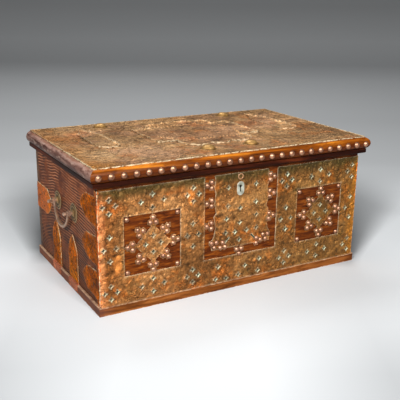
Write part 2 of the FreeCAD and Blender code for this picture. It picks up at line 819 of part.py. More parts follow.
def make_star_plates():
    for side, sign in SIDES:
        across, up = plate_centre(side, sign)
        clusters = window_clusters(side, sign)
        diamond = polygon_face(front_vector, ring_pairs(across, up, mm("lozenge_half"), 4, 0))
        faces = [diamond] + lobes(clusters) + webs(clusters, (across, up))
        frame = polygon_face(front_vector, window_pairs(sign, SEAT))
        plate = largest(united(faces).common(frame))
        pitch = mm("lozenge_star_pitch")
        stars = [star_pairs(*place) for place in star_group(across, up, pitch, pitch)]
        plate = pierced(plate, front_vector, stars)
        solid_piece(side + "_star_plate", plate.extrude(FreeCAD.Vector(0, -SKIN, 0)))


def lock_place(across_share, up_share):
    return (mm("lock_plate_shift") + across_share * LOCK_PLATE_HALF,
            LOCK_PLATE_LOW + up_share * (SHEET_TOP - LOCK_PLATE_LOW))


def lock_clusters(shares):
    return [cluster(*lock_place(across, up), turns * QUARTER) for across, up, turns in shares]


def lock_plate_face(grown):
    """The lock plate's wavy outline, without its lobes, let out all round by the given width."""
    edge = []
    for out_share, up_share in WAVE_SHARES:
        across = LOCK_PLATE_HALF + out_share * mm("lock_plate_wave") + grown
        edge.append((across, lock_place(0, up_share)[1] - grown * (1 - 2 * up_share)))
    middle = mm("lock_plate_shift")
    pairs = [(middle + across, up) for across, up in edge]
    pairs += [(middle - across, up) for across, up in reversed(edge)]
    return polygon_face(front_vector, pairs)


def slit_pairs(across, up, way):
    along = (math.cos(way * EIGHTH), math.sin(way * EIGHTH))
    side = (-along[1], along[0])
    corners = []
    for run, rise in ((-1, -1), (1, -1), (1, 1), (-1, 1)):
        long_part = run * mm("slit_length") / 2
        wide_part = rise * mm("slit_width") / 2
        corners.append((across + along[0] * long_part + side[0] * wide_part,
                        up + along[1] * long_part + side[1] * wide_part))
    return corners


def make_lock_plate():
    frame = polygon_face(front_vector, lock_window_pairs(SEAT))
    feet = lobes(lock_clusters(FOOT_CLUSTER_SHARES))
    plate = largest(united([lock_plate_face(0)] + feet).common(frame))
    grown = lock_plate_face(SEAT)
    holes = [star_pairs(*lock_place(*share)) for share in LOCK_STAR_SHARES]
    for across, up, way in SLIT_SHARES:
        holes.append(slit_pairs(*lock_place(across, up), way))
    holes.append(ring_pairs(0, value_of(BORE_LEVEL), mm("key_bore"), BORE_SIDES, 0))
    plate = pierced(plate, front_vector, holes)
    solid_piece("lock_plate", plate.extrude(FreeCAD.Vector(0, -SKIN, 0)))

    trefoils = []
    for places in lock_clusters(SIDE_CLUSTER_SHARES):
        face = united(lobes([places])).common(frame).cut(grown)
        trefoils.append(largest(face).extrude(FreeCAD.Vector(0, -SKIN, 0)))
    solid_piece("lock_panel_trefoils", Part.makeCompound(trefoils))


def make_escutcheon():
    level = value_of(BORE_LEVEL)
    half_across = mm("escutcheon_width") / 2
    straight_up = mm("escutcheon_length") / 2 - half_across
    outline = arc_pairs(0, level + straight_up, half_across, 0, ESCUTCHEON_STEPS)
    outline += arc_pairs(0, level - straight_up, half_across, 2, ESCUTCHEON_STEPS)
    radius = mm("keyhole_round")
    slot = mm("keyhole_slot_width") / 2
    neck = KEYHOLE_Z - math.sqrt(radius ** 2 - slot ** 2)
    foot = KEYHOLE_Z - mm("keyhole_slot_drop")
    hole = [(slot, foot), (slot, neck)] + arc_pairs(0, KEYHOLE_Z, radius, 0, ESCUTCHEON_STEPS)
    hole += [(-slot, neck), (-slot, foot)]
    plate = pierced(polygon_face(front_vector, outline), front_vector, [hole])
    plate = plate.extrude(FreeCAD.Vector(0, -mm("escutcheon_thick"), 0))
    solid_piece("keyhole_escutcheon", plate.translated(FreeCAD.Vector(0, -SKIN, 0)))

    radius = mm("lock_ring_radius")
    rings = [ring_pairs(0, KEYHOLE_Z + mm("lock_ring_rise"), radius - wall, BORE_SIDES, 0)
             for wall in (0, mm("lock_ring_wall"))]
    ring = pierced(polygon_face(front_vector, rings[0]), front_vector, rings[1:])
    ring = ring.extrude(FreeCAD.Vector(0, -mm("lock_ring_height"), 0))
    solid_piece("lock_plate_ring", ring.translated(FreeCAD.Vector(0, -SKIN, 0)))


# Sheet brass of the ends


def make_end_plates():
    back = HALF_DEPTH
    shoulder = back - mm("rear_tab_shoulder")
    tip = back - mm("rear_tab_length")
    bulge = (shoulder + tip) / 2
    level = mm("rear_tab_rise")
    half = mm("rear_tab_height") / 2
    runs = [((back, level - half),), ((back, level + half),), ((shoulder, level + half),),
            ((bulge, level + half * BULGE_SHARE), (tip, level)),
            ((bulge, level - half * BULGE_SHARE), (shoulder, level - half))]
    leaf = Part.Face(wire_of(end_vector, runs)).extrude(FreeCAD.Vector(SKIN, 0, 0))
    both_ends("rear_corner_plate", leaf.translated(FreeCAD.Vector(-HALF_WIDTH - SKIN, 0, 0)))

    half_strap = mm("strap_width") / 2
    tip = HANDLE_Z - mm("rose_radius") - mm("strap_gap")
    shoulder = tip - mm("strap_point_length")
    middle = (shoulder + tip) / 2
    swell = half_strap * BULGE_SHARE
    foot = mm("plinth_height")
    outer = HALF_WIDTH + mm("plinth_thick") + SKIN
    hem = mm("strap_hem")
    for end, place_share in (("front", FRONT_STRAP_SHARE), ("rear", REAR_STRAP_SHARE)):
        place = place_share * HALF_DEPTH
        runs = [((place - half_strap, foot),), ((place + half_strap, foot),),
                ((place + half_strap, shoulder),), ((place + swell, middle), (place, tip)),
                ((place - swell, middle), (place - half_strap, shoulder))]
        lancet = Part.Face(wire_of(end_vector, runs)).extrude(FreeCAD.Vector(SKIN, 0, 0))
        lancet = lancet.translated(FreeCAD.Vector(-HALF_WIDTH - SKIN, 0, 0))
        shelf = Part.makeBox(outer - HALF_WIDTH, 2 * half_strap, SKIN,
                             FreeCAD.Vector(-outer, place - half_strap, foot))
        apron = Part.makeBox(SKIN, 2 * half_strap, foot + SKIN - hem,
                             FreeCAD.Vector(-outer, place - half_strap, hem))
        both_ends(end + "_strap", lancet.fuse([shelf, apron]).removeSplitter())


# Lid board, its sheet and overlays


def make_lid():
    grow_x = "sizes.body_width / 2 + sizes.lid_overhang - sizes.nosing_depth"
    grow_y = "sizes.body_depth / 2 + sizes.lid_overhang - sizes.nosing_depth"
    keep(box_object("lid_blank", "2 * (%s)" % grow_x,
                    "%s + sizes.body_depth / 2 + sizes.lid_back_overhang" % grow_y,
                    "sizes.lid_thick", "-(%s)" % grow_x, "-(%s)" % grow_y, "sizes.rim_height"),
         "lid_board")
    side = "sizes.body_width / 2 + sizes.lid_overhang - sizes.nosing_bulge"
    front = "sizes.body_depth / 2 + sizes.lid_overhang - sizes.nosing_bulge"
    keep(box_object("lid_sheet_blank", "2 * (%s)" % side,
                    "%s + sizes.body_depth / 2 + sizes.lid_back_overhang" % front,
                    "sizes.sheet_thick", "-(%s)" % side, "-(%s)" % front,
                    "sizes.rim_height + sizes.lid_thick"), "lid_sheet")


def lid_overlay(label, runs):
    plate = Part.Face(wire_of(lid_vector, runs)).extrude(FreeCAD.Vector(0, 0, SKIN))
    solid_piece(label, plate.translated(FreeCAD.Vector(0, 0, LID_TOP + SKIN)))


def make_overlays():
    front = -HALF_DEPTH + mm("overlay_front_inset")
    back = HALF_DEPTH - mm("overlay_back_inset")
    middle = mm("centre_overlay_shift")
    half = mm("centre_overlay_half")
    lobe = mm("centre_lobe_half")
    runs = [((middle + half, back),), ((middle + half, front),), ((middle + lobe, front),)]
    for through, end in FRONT_LOBE_SHARES:
        runs.append(tuple((middle + share * lobe, front - out * mm("centre_lobe_depth"))
                          for share, out in (through, end)))
    runs += [((middle - half, front),), ((middle - half, back),), ((middle - lobe, back),)]
    for through, end in BACK_LOBE_SHARES:
        runs.append(tuple((middle + share * lobe, back + out * mm("centre_crown_depth"))
                          for share, out in (through, end)))
    lid_overlay("lid_centre_overlay", runs)

    width = mm("side_overlay_half")
    toe = mm("side_overlay_toe")
    tail = back + mm("side_overlay_tail")
    waist = width * (1 - BULGE_SHARE)
    toe_middle = front + toe * (1 - BULGE_SHARE)
    for side, sign in SIDES:
        place = sign * mm("side_overlay_place")
        runs = [((place + width, back),), ((place + width, front + toe),),
                ((place + width * BULGE_SHARE, toe_middle), (place, front)),
                ((place - width * BULGE_SHARE, toe_middle), (place - width, front + toe)),
                ((place - width, back),),
                ((place - waist, (back + tail) / 2), (place, tail)),
                ((place + waist, (back + tail) / 2), (place + width, back))]
        lid_overlay("lid_%s_overlay" % side, runs[1:])


# Domed nails and bosses


def dome(radius, height, sides, tiers):
    """A faceted dome standing on the origin, its axis along Z."""
    rings = []
    for radius_share, height_share in tiers:
        corners = sides if radius_share else 1
        pairs = ring_pairs(0, 0, radius * radius_share, corners, math.pi / sides)
        lift = FreeCAD.Vector(0, 0, height * height_share)
        rings.append([lid_vector(pair) + lift for pair in pairs])
    return ringed_solid(rings, False)


def on_front(shape, across, up, depth):
    """The dome turned to face forward and set on the front."""
    placed = shape.copy()
    placed.Placement = FreeCAD.Placement(FreeCAD.Vector(across, depth, up),
                                         FreeCAD.Rotation(X_AXIS, 90))
    return placed


def make_nails():
    nail = dome(mm("nail_radius"), mm("nail_height"), NAIL_SIDES, NAIL_TIER_SHARES)
    plated = -HALF_DEPTH - SKIN
    for side, sign in SIDES:
        group = []
        for places in window_clusters(side, sign):
            group += [on_front(nail, across, up, plated) for across, up in places]
        for across, up in window_pairs(sign, mm("corner_nail_inset")):
            group.append(on_front(nail, across, up, -HALF_DEPTH))
        solid_piece(side + "_panel_nails", Part.makeCompound(group))
    group = []
    for places in lock_clusters(SIDE_CLUSTER_SHARES + FOOT_CLUSTER_SHARES):
        group += [on_front(nail, across, up, plated) for across, up in places]
    solid_piece("lock_panel_nails", Part.makeCompound(group))


def make_edge_nails():
    """Large nails along the front nosing, hollowed beneath to sit on its curve."""
    radius = mm("edge_nail_radius")
    bulge = mm("nosing_bulge")
    round_radius = (bulge ** 2 + mm("lid_thick") ** 2 / 4) / (2 * bulge)
    middle = RIM + mm("lid_thick") / 2
    tilt = math.asin((RIM + mm("edge_nail_rise") - middle) / round_radius)
    seat = FreeCAD.Vector(0, LID_FRONT + round_radius, middle)
    out = FreeCAD.Vector(0, -math.cos(tilt), math.sin(tilt))
    nail = dome(radius, mm("edge_nail_height"), NAIL_SIDES, NAIL_TIER_SHARES)
    nail.Placement = FreeCAD.Placement(seat + out * math.sqrt(round_radius ** 2 - radius ** 2),
                                       FreeCAD.Rotation(Z_AXIS, out))
    core = Part.makeCylinder(round_radius + SEAT, 4 * radius, seat - X_AXIS * 2 * radius, X_AXIS)
    nail = nail.cut(core)
    count = int(mm("edge_nail_count"))
    reach = HALF_WIDTH + mm("lid_overhang") - mm("edge_nail_inset")
    group = []
    for k in range(count):
        across = reach * (2 * k / (count - 1) - 1)
        group.append(nail.translated(FreeCAD.Vector(across, 0, 0)))
    solid_piece("lid_edge_nails", Part.makeCompound(group))


def make_bosses():
    boss = dome(mm("boss_radius"), mm("boss_height"), BOSS_SIDES, BOSS_TIER_SHARES)
    top = LID_TOP + SKIN
    front = -HALF_DEPTH + mm("front_boss_inset")
    back = HALF_DEPTH - mm("back_boss_inset")
    for label, half, place in (("front_bosses", mm("front_boss_half"), front),
                               ("rear_bosses", mm("back_boss_half"), back)):
        group = [boss.translated(FreeCAD.Vector(way * half, place, top)) for way in (-1, 1)]
        solid_piece(label, Part.makeCompound(group))


# Drop handles


def make_handles():
    places = [way * mm("handle_half") - mm("handle_shift") for way in (-1, 1)]
    both_ends("handle_roses", Part.makeCompound([rose_shape(place) for place in places]))
    both_ends("handle_posts", Part.makeCompound([eye_bolt(place) for place in places]))
    both_ends("bail", bail_shape())


def clear_of(radius, sides):
    """The corner radius of a faceted hole whose flats stay outside the given radius."""
    return radius / math.cos(math.pi / sides)


def turned(profile, sides, place):
    """A faceted turned piece that points out of the left end; pairs of reach and radius."""
    rings = []
    for reach, radius in profile:
        centre = FreeCAD.Vector(-HALF_WIDTH - reach, place, HANDLE_Z)
        rings.append([centre + end_vector(pair) for pair in ring_pairs(0, 0, radius, sides, 0)])
    return ringed_solid(rings, False)


def rose_shape(place):
    height = mm("rose_height")
    profile = [(height_share * height, radius_share * mm("rose_radius"))
               for radius_share, height_share in ROSE_TIER_SHARES]
    hole = clear_of(mm("post_radius") + mm("post_fit"), ROD_SIDES)
    drill = turned([(-OVER, hole), (height + OVER, hole)], ROD_SIDES, place)
    return turned(profile, ROSE_SIDES, place).cut(drill)


def eye_bolt(place):
    """A shank through the board, an eye for the bail and a turned finial beyond it."""
    pivot = mm("pivot_reach")
    post = mm("post_radius")
    neck = mm("finial_neck")
    knob = mm("finial_reach")
    swell = mm("finial_radius")
    hole = clear_of(mm("bail_pin_radius") + mm("bail_pin_gap"), ROD_SIDES)
    half_thick = mm("eye_half_thick")
    shank = turned([(-BOARD, post), (pivot - hole, post)], ROD_SIDES, place)
    finial = turned([(pivot + (hole + mm("eye_radius")) / 2, neck), (knob - swell, neck),
                     (knob - swell / 2, swell), (knob + swell / 2, swell), (knob + swell, neck)],
                    ROD_SIDES, place)

    def eye_vector(pair):
        return FreeCAD.Vector(pair[0] - PIVOT_X, place - half_thick, pair[1] + HANDLE_Z)

    disc = polygon_face(eye_vector, ring_pairs(0, 0, mm("eye_radius"), BORE_SIDES, 0))
    disc = disc.extrude(FreeCAD.Vector(0, 2 * half_thick, 0))
    bore = polygon_face(eye_vector, ring_pairs(0, 0, hole, ROD_SIDES, 0))
    bore = bore.extrude(FreeCAD.Vector(0, 2 * half_thick, 0))
    return disc.fuse([shank, finial]).cut(bore).removeSplitter()


def bail_shape():
    """The left bail: a hanging bow swelling at the grip, with pins and knobs at its ends.

    Each station is a place along, a height, a radius and the lean of its ring; the bow's first
    and last rings lean half as far as the bow does, to mitre it with the pins.
    """
    middle = -mm("handle_shift")
    half = mm("bail_half")
    drop = mm("bail_drop")
    pin = mm("bail_pin_radius")
    grip = mm("bail_grip_radius")
    reach = mm("handle_half") + mm("post_radius") + SEAT
    knob = mm("bail_knob_radius")
    end = reach + mm("bail_knob_length")
    stations = [(-end, 0, knob, 0), (-reach, 0, knob, 0), (-reach, 0, pin, 0),
                (-half - pin / 2, 0, pin, 0)]
    for k in range(BOW_STATIONS + 1):
        angle = math.pi * k / BOW_STATIONS
        swell = max(math.sin(angle), 0) ** 3
        lean = math.atan2(-drop * math.cos(angle), half * math.sin(angle))
        if k in (0, BOW_STATIONS):
            lean /= 2
        stations.append((-half * math.cos(angle), -drop * math.sin(angle),
                         pin + (grip - pin) * swell, lean))
    stations += [(half + pin / 2, 0, pin, 0), (reach, 0, pin, 0), (reach, 0, knob, 0),
                 (end, 0, knob, 0)]
    rings = []
    for along, down, radius, lean in stations:
        centre = FreeCAD.Vector(-PIVOT_X, middle + along, HANDLE_Z + down)
        side_step = FreeCAD.Vector(0, -math.sin(lean), math.cos(lean))
        rings.append([centre + X_AXIS * out + side_step * up
                      for out, up in ring_pairs(0, 0, radius, BOW_SIDES, EIGHTH / 2)])
    return ringed_solid(rings, True)


# Strap hinges: both leaves turn about one pin, and a heel stops the lid


def knuckle(middle, low, high, radius):
    """A faceted rod on the hinge line between two places across."""
    rings = []
    for across in (low, high):
        centre = FreeCAD.Vector(middle + across, HINGE_Y, HINGE_Z)
        rings.append([centre + end_vector(pair)
                      for pair in ring_pairs(0, 0, radius, KNUCKLE_SIDES, 0)])
    return ringed_solid(rings, False)


def make_hinges():
    half = mm("leaf_width") / 2
    thick = mm("leaf_thick")
    radius = mm("knuckle_radius")
    gap = mm("knuckle_gap")
    inner = mm("knuckle_middle") / 2
    outer = inner + gap
    pin = mm("hinge_pin_radius")
    bore = clear_of(pin + mm("hinge_pin_fit"), KNUCKLE_SIDES)
    for side, sign in SIDES:
        middle = sign * mm("back_boss_half")
        leaf = Part.makeBox(2 * half, thick, mm("leaf_drop"),
                            FreeCAD.Vector(middle - half, HALF_DEPTH, HINGE_Z - mm("leaf_drop")))
        notch = Part.makeBox(2 * outer, thick + 2 * OVER, radius + gap + OVER,
                             FreeCAD.Vector(middle - outer, HALF_DEPTH - OVER,
                                            HINGE_Z - radius - gap))
        fixed = leaf.cut(notch)
        fixed = fixed.fuse([knuckle(middle, -half, -outer, radius),
                            knuckle(middle, outer, half, radius)])
        fixed = fixed.cut(knuckle(middle, -half - OVER, half + OVER, bore)).removeSplitter()
        solid_piece(side + "_hinge_leaf", fixed)
        solid_piece(side + "_hinge_pin", knuckle(middle, -half, half, pin))

        front = HALF_DEPTH - mm("lid_strap_length")
        point = front + mm("strap_point")
        back = HALF_DEPTH - SEAT
        runs = straight([(middle + inner, HINGE_Y), (middle - inner, HINGE_Y),
                         (middle - inner, back), (middle - half, back), (middle - half, point),
                         (middle, front), (middle + half, point), (middle + half, back),
                         (middle + inner, back)])
        strap = Part.Face(wire_of(lid_vector, runs)).extrude(FreeCAD.Vector(0, 0, thick))
        strap = strap.translated(FreeCAD.Vector(0, 0, RIM - thick))
        heel = Part.makeBox(2 * inner, mm("heel_thick"), mm("heel_length"),
                            FreeCAD.Vector(middle - inner, HALF_DEPTH + thick + SEAT,
                                           HINGE_Z - mm("heel_length")))
        heel.rotate(FreeCAD.Vector(middle, HINGE_Y, HINGE_Z), X_AXIS, mm("lid_open_angle"))
        moving = strap.fuse([knuckle(middle, -inner, inner, radius), heel])
        moving = moving.cut(knuckle(middle, -half, half, bore)).removeSplitter()
        solid_piece(side + "_hinge_strap", moving)


# Lock: a case on the front board, a sliding bolt in it and two loops under the lid


CASE_FRONT = -HALF_DEPTH + BOARD
LOOP_Y = CASE_FRONT + mm("loop_place")
CATCH_LOW = RIM - mm("leaf_thick")
LOOP_LOW = CATCH_LOW - mm("loop_drop")
EYE_LOW = LOOP_LOW + mm("loop_bar")
FINGER_LOW = EYE_LOW + mm("bolt_clear")
FINGER_HIGH = LOOP_LOW + mm("loop_drop") / 2 - mm("bolt_clear")
BOLT_LOW = LOOP_LOW - OVER - mm("bolt_height")


def make_lock_case():
    half = mm("case_half_width")
    wall = mm("case_wall")
    depth = mm("case_depth")
    top = CATCH_LOW - mm("case_top_gap")
    low = top - mm("case_height")
    case =Part.makeBox(2 * half, depth, top - low, FreeCAD.Vector(-half, CASE_FRONT, low))
    hollow = Part.makeBox(2 * (half - wall), depth - wall + OVER, top - low - 2 * wall,
                          FreeCAD.Vector(-half + wall, CASE_FRONT - OVER, low + wall))
    case = case.cut(hollow)
    room = mm("loop_thick") / 2 + mm("slot_room")
    for way in (-1, 1):
        slot = Part.makeBox(2 * room, depth - wall + OVER, wall + 2 * OVER,
                            FreeCAD.Vector(way * mm("loop_half") - room, CASE_FRONT - OVER,
                                           top - wall - OVER))
        case = case.cut(slot)
    guides = []
    for place in (-mm("guide_place") - mm("guide_width"),
                  mm("guide_place") - mm("guide_width") / 2):
        guides.append(Part.makeBox(mm("guide_width"), depth - wall - OVER, mm("guide_height"),
                                   FreeCAD.Vector(place, CASE_FRONT + OVER,
                                                  BOLT_LOW - SEAT - mm("guide_height"))))
    solid_piece("lock_case", case.fuse(guides).removeSplitter())


def make_lock_bolt():
    clear = mm("bolt_clear")
    reach = mm("bolt_travel") + mm("loop_thick") / 2 + clear / 2
    thick = mm("bolt_thick")
    bolt_front = LOOP_Y - thick / 2
    left = -mm("loop_half") - reach - mm("bolt_post")
    right = mm("loop_half") + 3 * clear
    plate = Part.makeBox(right - left, thick, mm("bolt_height"),
                         FreeCAD.Vector(left, bolt_front, BOLT_LOW))
    fingers = []
    for way in (-1, 1):
        loop_x = way * mm("loop_half")
        post_left = loop_x - reach - mm("bolt_post")
        fingers.append(Part.makeBox(mm("bolt_post"), thick, FINGER_HIGH - BOLT_LOW,
                                    FreeCAD.Vector(post_left, bolt_front, BOLT_LOW)))
        finger_end = loop_x - mm("loop_thick") / 2 - clear
        fingers.append(Part.makeBox(finger_end - post_left, thick, FINGER_HIGH - FINGER_LOW,
                                    FreeCAD.Vector(post_left, bolt_front, FINGER_LOW)))
    talon = Part.makeCylinder(mm("talon_radius"), thick + 2 * OVER,
                              FreeCAD.Vector(0, bolt_front - OVER, BOLT_LOW), Y_AXIS)
    solid_piece("lock_bolt", plate.fuse(fingers).cut(talon).removeSplitter())


def make_lock_catch():
    half = mm("catch_half_width")
    plate = Part.makeBox(2 * half, mm("catch_depth"), mm("leaf_thick"),
                         FreeCAD.Vector(-half, CASE_FRONT + 2 * SEAT, CATCH_LOW))
    loops = []
    half_loop = mm("loop_depth") / 2
    half_eye = half_loop - mm("loop_side")
    for way in (-1, 1):
        loop_left = way * mm("loop_half") - mm("loop_thick") / 2
        block = Part.makeBox(mm("loop_thick"), 2 * half_loop, mm("loop_drop"),
                             FreeCAD.Vector(loop_left, LOOP_Y - half_loop, LOOP_LOW))
        eye = Part.makeBox(mm("loop_thick") + 2 * OVER, 2 * half_eye,
                           FINGER_HIGH + mm("bolt_clear") - EYE_LOW,
                           FreeCAD.Vector(loop_left - OVER, LOOP_Y - half_eye, EYE_LOW))
        loops.append(block.cut(eye))
    solid_piece("lock_catch", plate.fuse(loops).removeSplitter())


def check_and_export():
    """Stops on anything broken, then writes one file for each piece."""
    doc.recompute()
    for obj in doc.Objects:
        if "Invalid" in obj.State or "Error" in obj.State:
            raise ValueError("%s is %s" % (obj.Label, obj.State))
    os.makedirs("parts", exist_ok=True)
    for piece in pieces:
        shape = piece.Shape
        if shape.isNull() or not shape.isValid():
            raise ValueError("%s has no sound shape" % piece.Label)
        shape.exportStep("parts/%s.step" % piece.Label)


make_boards()
make_plinths()
make_front_sheet()
make_star_plates()
make_lock_plate()
make_escutcheon()
make_end_plates()
make_lid()
make_nosings()
make_lips()
make_overlays()
make_nails()
make_edge_nails()
make_bosses()
make_handles()
make_hinges()
make_lock_case()
make_lock_bolt()
make_lock_catch()
check_and_export()
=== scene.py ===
import math
import random
import bpy
import bmesh
from mathutils import Matrix, Vector, geometry, kdtree, noise


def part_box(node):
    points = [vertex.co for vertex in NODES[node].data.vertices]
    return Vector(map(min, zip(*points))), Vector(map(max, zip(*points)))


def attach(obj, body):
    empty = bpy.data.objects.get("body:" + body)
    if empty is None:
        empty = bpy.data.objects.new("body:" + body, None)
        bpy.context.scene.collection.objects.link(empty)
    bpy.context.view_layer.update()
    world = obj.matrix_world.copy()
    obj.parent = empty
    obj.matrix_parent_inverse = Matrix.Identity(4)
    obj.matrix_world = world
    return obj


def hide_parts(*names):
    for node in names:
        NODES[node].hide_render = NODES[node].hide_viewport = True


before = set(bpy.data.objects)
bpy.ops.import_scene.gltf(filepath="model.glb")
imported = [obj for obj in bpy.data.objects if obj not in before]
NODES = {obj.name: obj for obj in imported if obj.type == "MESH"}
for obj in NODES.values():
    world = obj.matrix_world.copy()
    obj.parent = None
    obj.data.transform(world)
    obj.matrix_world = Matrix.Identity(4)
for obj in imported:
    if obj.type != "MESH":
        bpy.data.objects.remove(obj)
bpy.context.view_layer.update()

# Dowry chest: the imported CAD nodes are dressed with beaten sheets, domed nails and old wood.
# Lengths are in metres in the part's frame: X to the right, Y to the back and Z up

MM = 0.001
SHEET_THICK = 0.8 * MM
HINGE_LEAF_THICK = 2.5 * MM
SIDE_SIGNS = (("left", -1), ("right", 1))

# Which way each face looks: its two directions and its outward way in the frame
FRONT, LEFT, RIGHT, UP = "front", "left", "right", "up"
FACES = {
    FRONT: (Vector((1, 0, 0)), Vector((0, 0, 1)), Vector((0, -1, 0))),
    LEFT: (Vector((0, -1, 0)), Vector((0, 0, 1)), Vector((-1, 0, 0))),
    RIGHT: (Vector((0, 1, 0)), Vector((0, 0, 1)), Vector((1, 0, 0))),
    UP: (Vector((1, 0, 0)), Vector((0, 1, 0)), Vector((0, 0, 1))),
}

# How far each skinned face lies out along its outward way
front_level = -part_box("front_sheet")[0][1]
side_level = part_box("front_sheet")[1][0]
lid_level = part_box("lid_sheet")[1][2]
overlay_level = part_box("lid_centre_overlay")[1][2]


# Materials


class Shade:
    """A material's node tree, with short calls for its nodes, and its colour as it builds up."""

    def __init__(self, name):
        self.material = bpy.data.materials.new(name)
        self.material.use_nodes = True
        self.tree = self.material.node_tree
        self.shader = self.tree.nodes["Principled BSDF"]
        self.place = self.add("ShaderNodeTexCoord").outputs["Object"]
        self.colour = None

    def add(self, kind, **settings):
        node = self.tree.nodes.new(kind)
        for key, setting in settings.items():
            setattr(node, key, setting)
        return node

    def put(self, socket, value):
        if hasattr(value, "links"):
            self.tree.links.new(value, socket)
        else:
            socket.default_value = value

    def set(self, socket, value):
        self.put(self.shader.inputs[socket], value)

    def maths(self, kind, *values):
        node = self.add("ShaderNodeMath", operation=kind)
        for socket, value in zip(node.inputs, values):
            self.put(socket, value)
        return node.outputs[0]

    def times(self, first, second):
        return self.maths("MULTIPLY", first, second)

    def plus(self, value, factor, more):
        """The value times the factor, and more."""
        return self.maths("MULTIPLY_ADD", value, factor, more)

    def away(self, value, middle):
        """How far the value is from the middle, either way."""
        return self.maths("ABSOLUTE", self.maths("SUBTRACT", value, middle))

    def scaled(self, stretch, shift=(0, 0, 0)):
        node = self.add("ShaderNodeMapping")
        self.put(node.inputs["Vector"], self.place)
        node.inputs["Scale"].default_value = stretch
        node.inputs["Location"].default_value = shift
        return node.outputs[0]

    def noise(self, scale, detail=3.0, rough=0.55, place=None, warp=0.0):
        node = self.add("ShaderNodeTexNoise")
        self.put(node.inputs["Vector"], place or self.place)
        node.inputs["Scale"].default_value = scale
        node.inputs["Detail"].default_value = detail
        node.inputs["Roughness"].default_value = rough
        node.inputs["Distortion"].default_value = warp
        return node.outputs["Fac"]

    def cells(self, scale, feature="F1", place=None):
        node = self.add("ShaderNodeTexVoronoi", feature=feature)
        self.put(node.inputs["Vector"], place or self.place)
        node.inputs["Scale"].default_value = scale
        return node.outputs["Distance"]

    def axis(self, letter):
        node = self.add("ShaderNodeSeparateXYZ")
        self.put(node.inputs[0], self.place)
        return node.outputs[letter]

    def mask(self, name):
        return self.add("ShaderNodeAttribute", attribute_name=name).outputs["Fac"]

    def between(self, value, low, high):
        """0 at low and 1 at high, held outside them."""
        node = self.add("ShaderNodeMapRange", clamp=True)
        self.put(node.inputs["Value"], value)
        node.inputs["From Min"].default_value = low
        node.inputs["From Max"].default_value = high
        return node.outputs[0]

    def patches(self, scale, detail, rough, low, high, stretch=(1, 1, 1), shift=(0, 0, 0)):
        """Patches of noise: 0 where the noise is low and 1 where it is high."""
        place = self.scaled(stretch, shift)
        return self.between(self.noise(scale, detail, rough, place=place), low, high)

    def ramp(self, factor, stops):
        """A colour ramp; each stop is a place and a colour."""
        node = self.add("ShaderNodeValToRGB")
        self.put(node.inputs["Fac"], factor)
        points = node.color_ramp.elements
        for k, (place, colour) in enumerate(stops):
            point = points[k] if k < 2 else points.new(place)
            point.position = place
            point.color = (*colour, 1)
        return node.outputs["Color"]

    def mix(self, factor, first, second, blend="MIX"):
        node = self.add("ShaderNodeMix", data_type="RGBA", blend_type=blend)
        self.put(node.inputs["Factor"], factor)
        for socket, value in ((node.inputs[6], first), (node.inputs[7], second)):
            self.put(socket, (*value, 1) if isinstance(value, tuple) else value)
        return node.outputs[2]

    def lay(self, where, amount, tone):
        """Covers the colour with a tone by the given amount where the mask is."""
        self.colour = self.mix(self.times(where, amount), self.colour, tone)

    def tint(self, where, amount, factors):
        """Multiplies the colour by factors by the given amount where the mask is."""
        self.lay(where, amount, self.mix(1.0, self.colour, factors, "MULTIPLY"))

    def surface(self, pattern, spread, rough, gloss, metal=0.0):
        """Sets the colour and a roughness that varies by the spread with a pattern."""
        self.set("Base Color", self.colour)
        self.set("Metallic", metal)
        self.set("Specular IOR Level", gloss)
        self.set("Roughness", self.plus(pattern, spread, rough - 0.12))

    def bump(self, height, depth, strength):
        node = self.add("ShaderNodeBump")
        node.inputs["Distance"].default_value = depth
        node.inputs["Strength"].default_value = strength
        self.put(node.inputs["Height"], height)
        self.set("Normal", node.outputs[0])
        return self.material


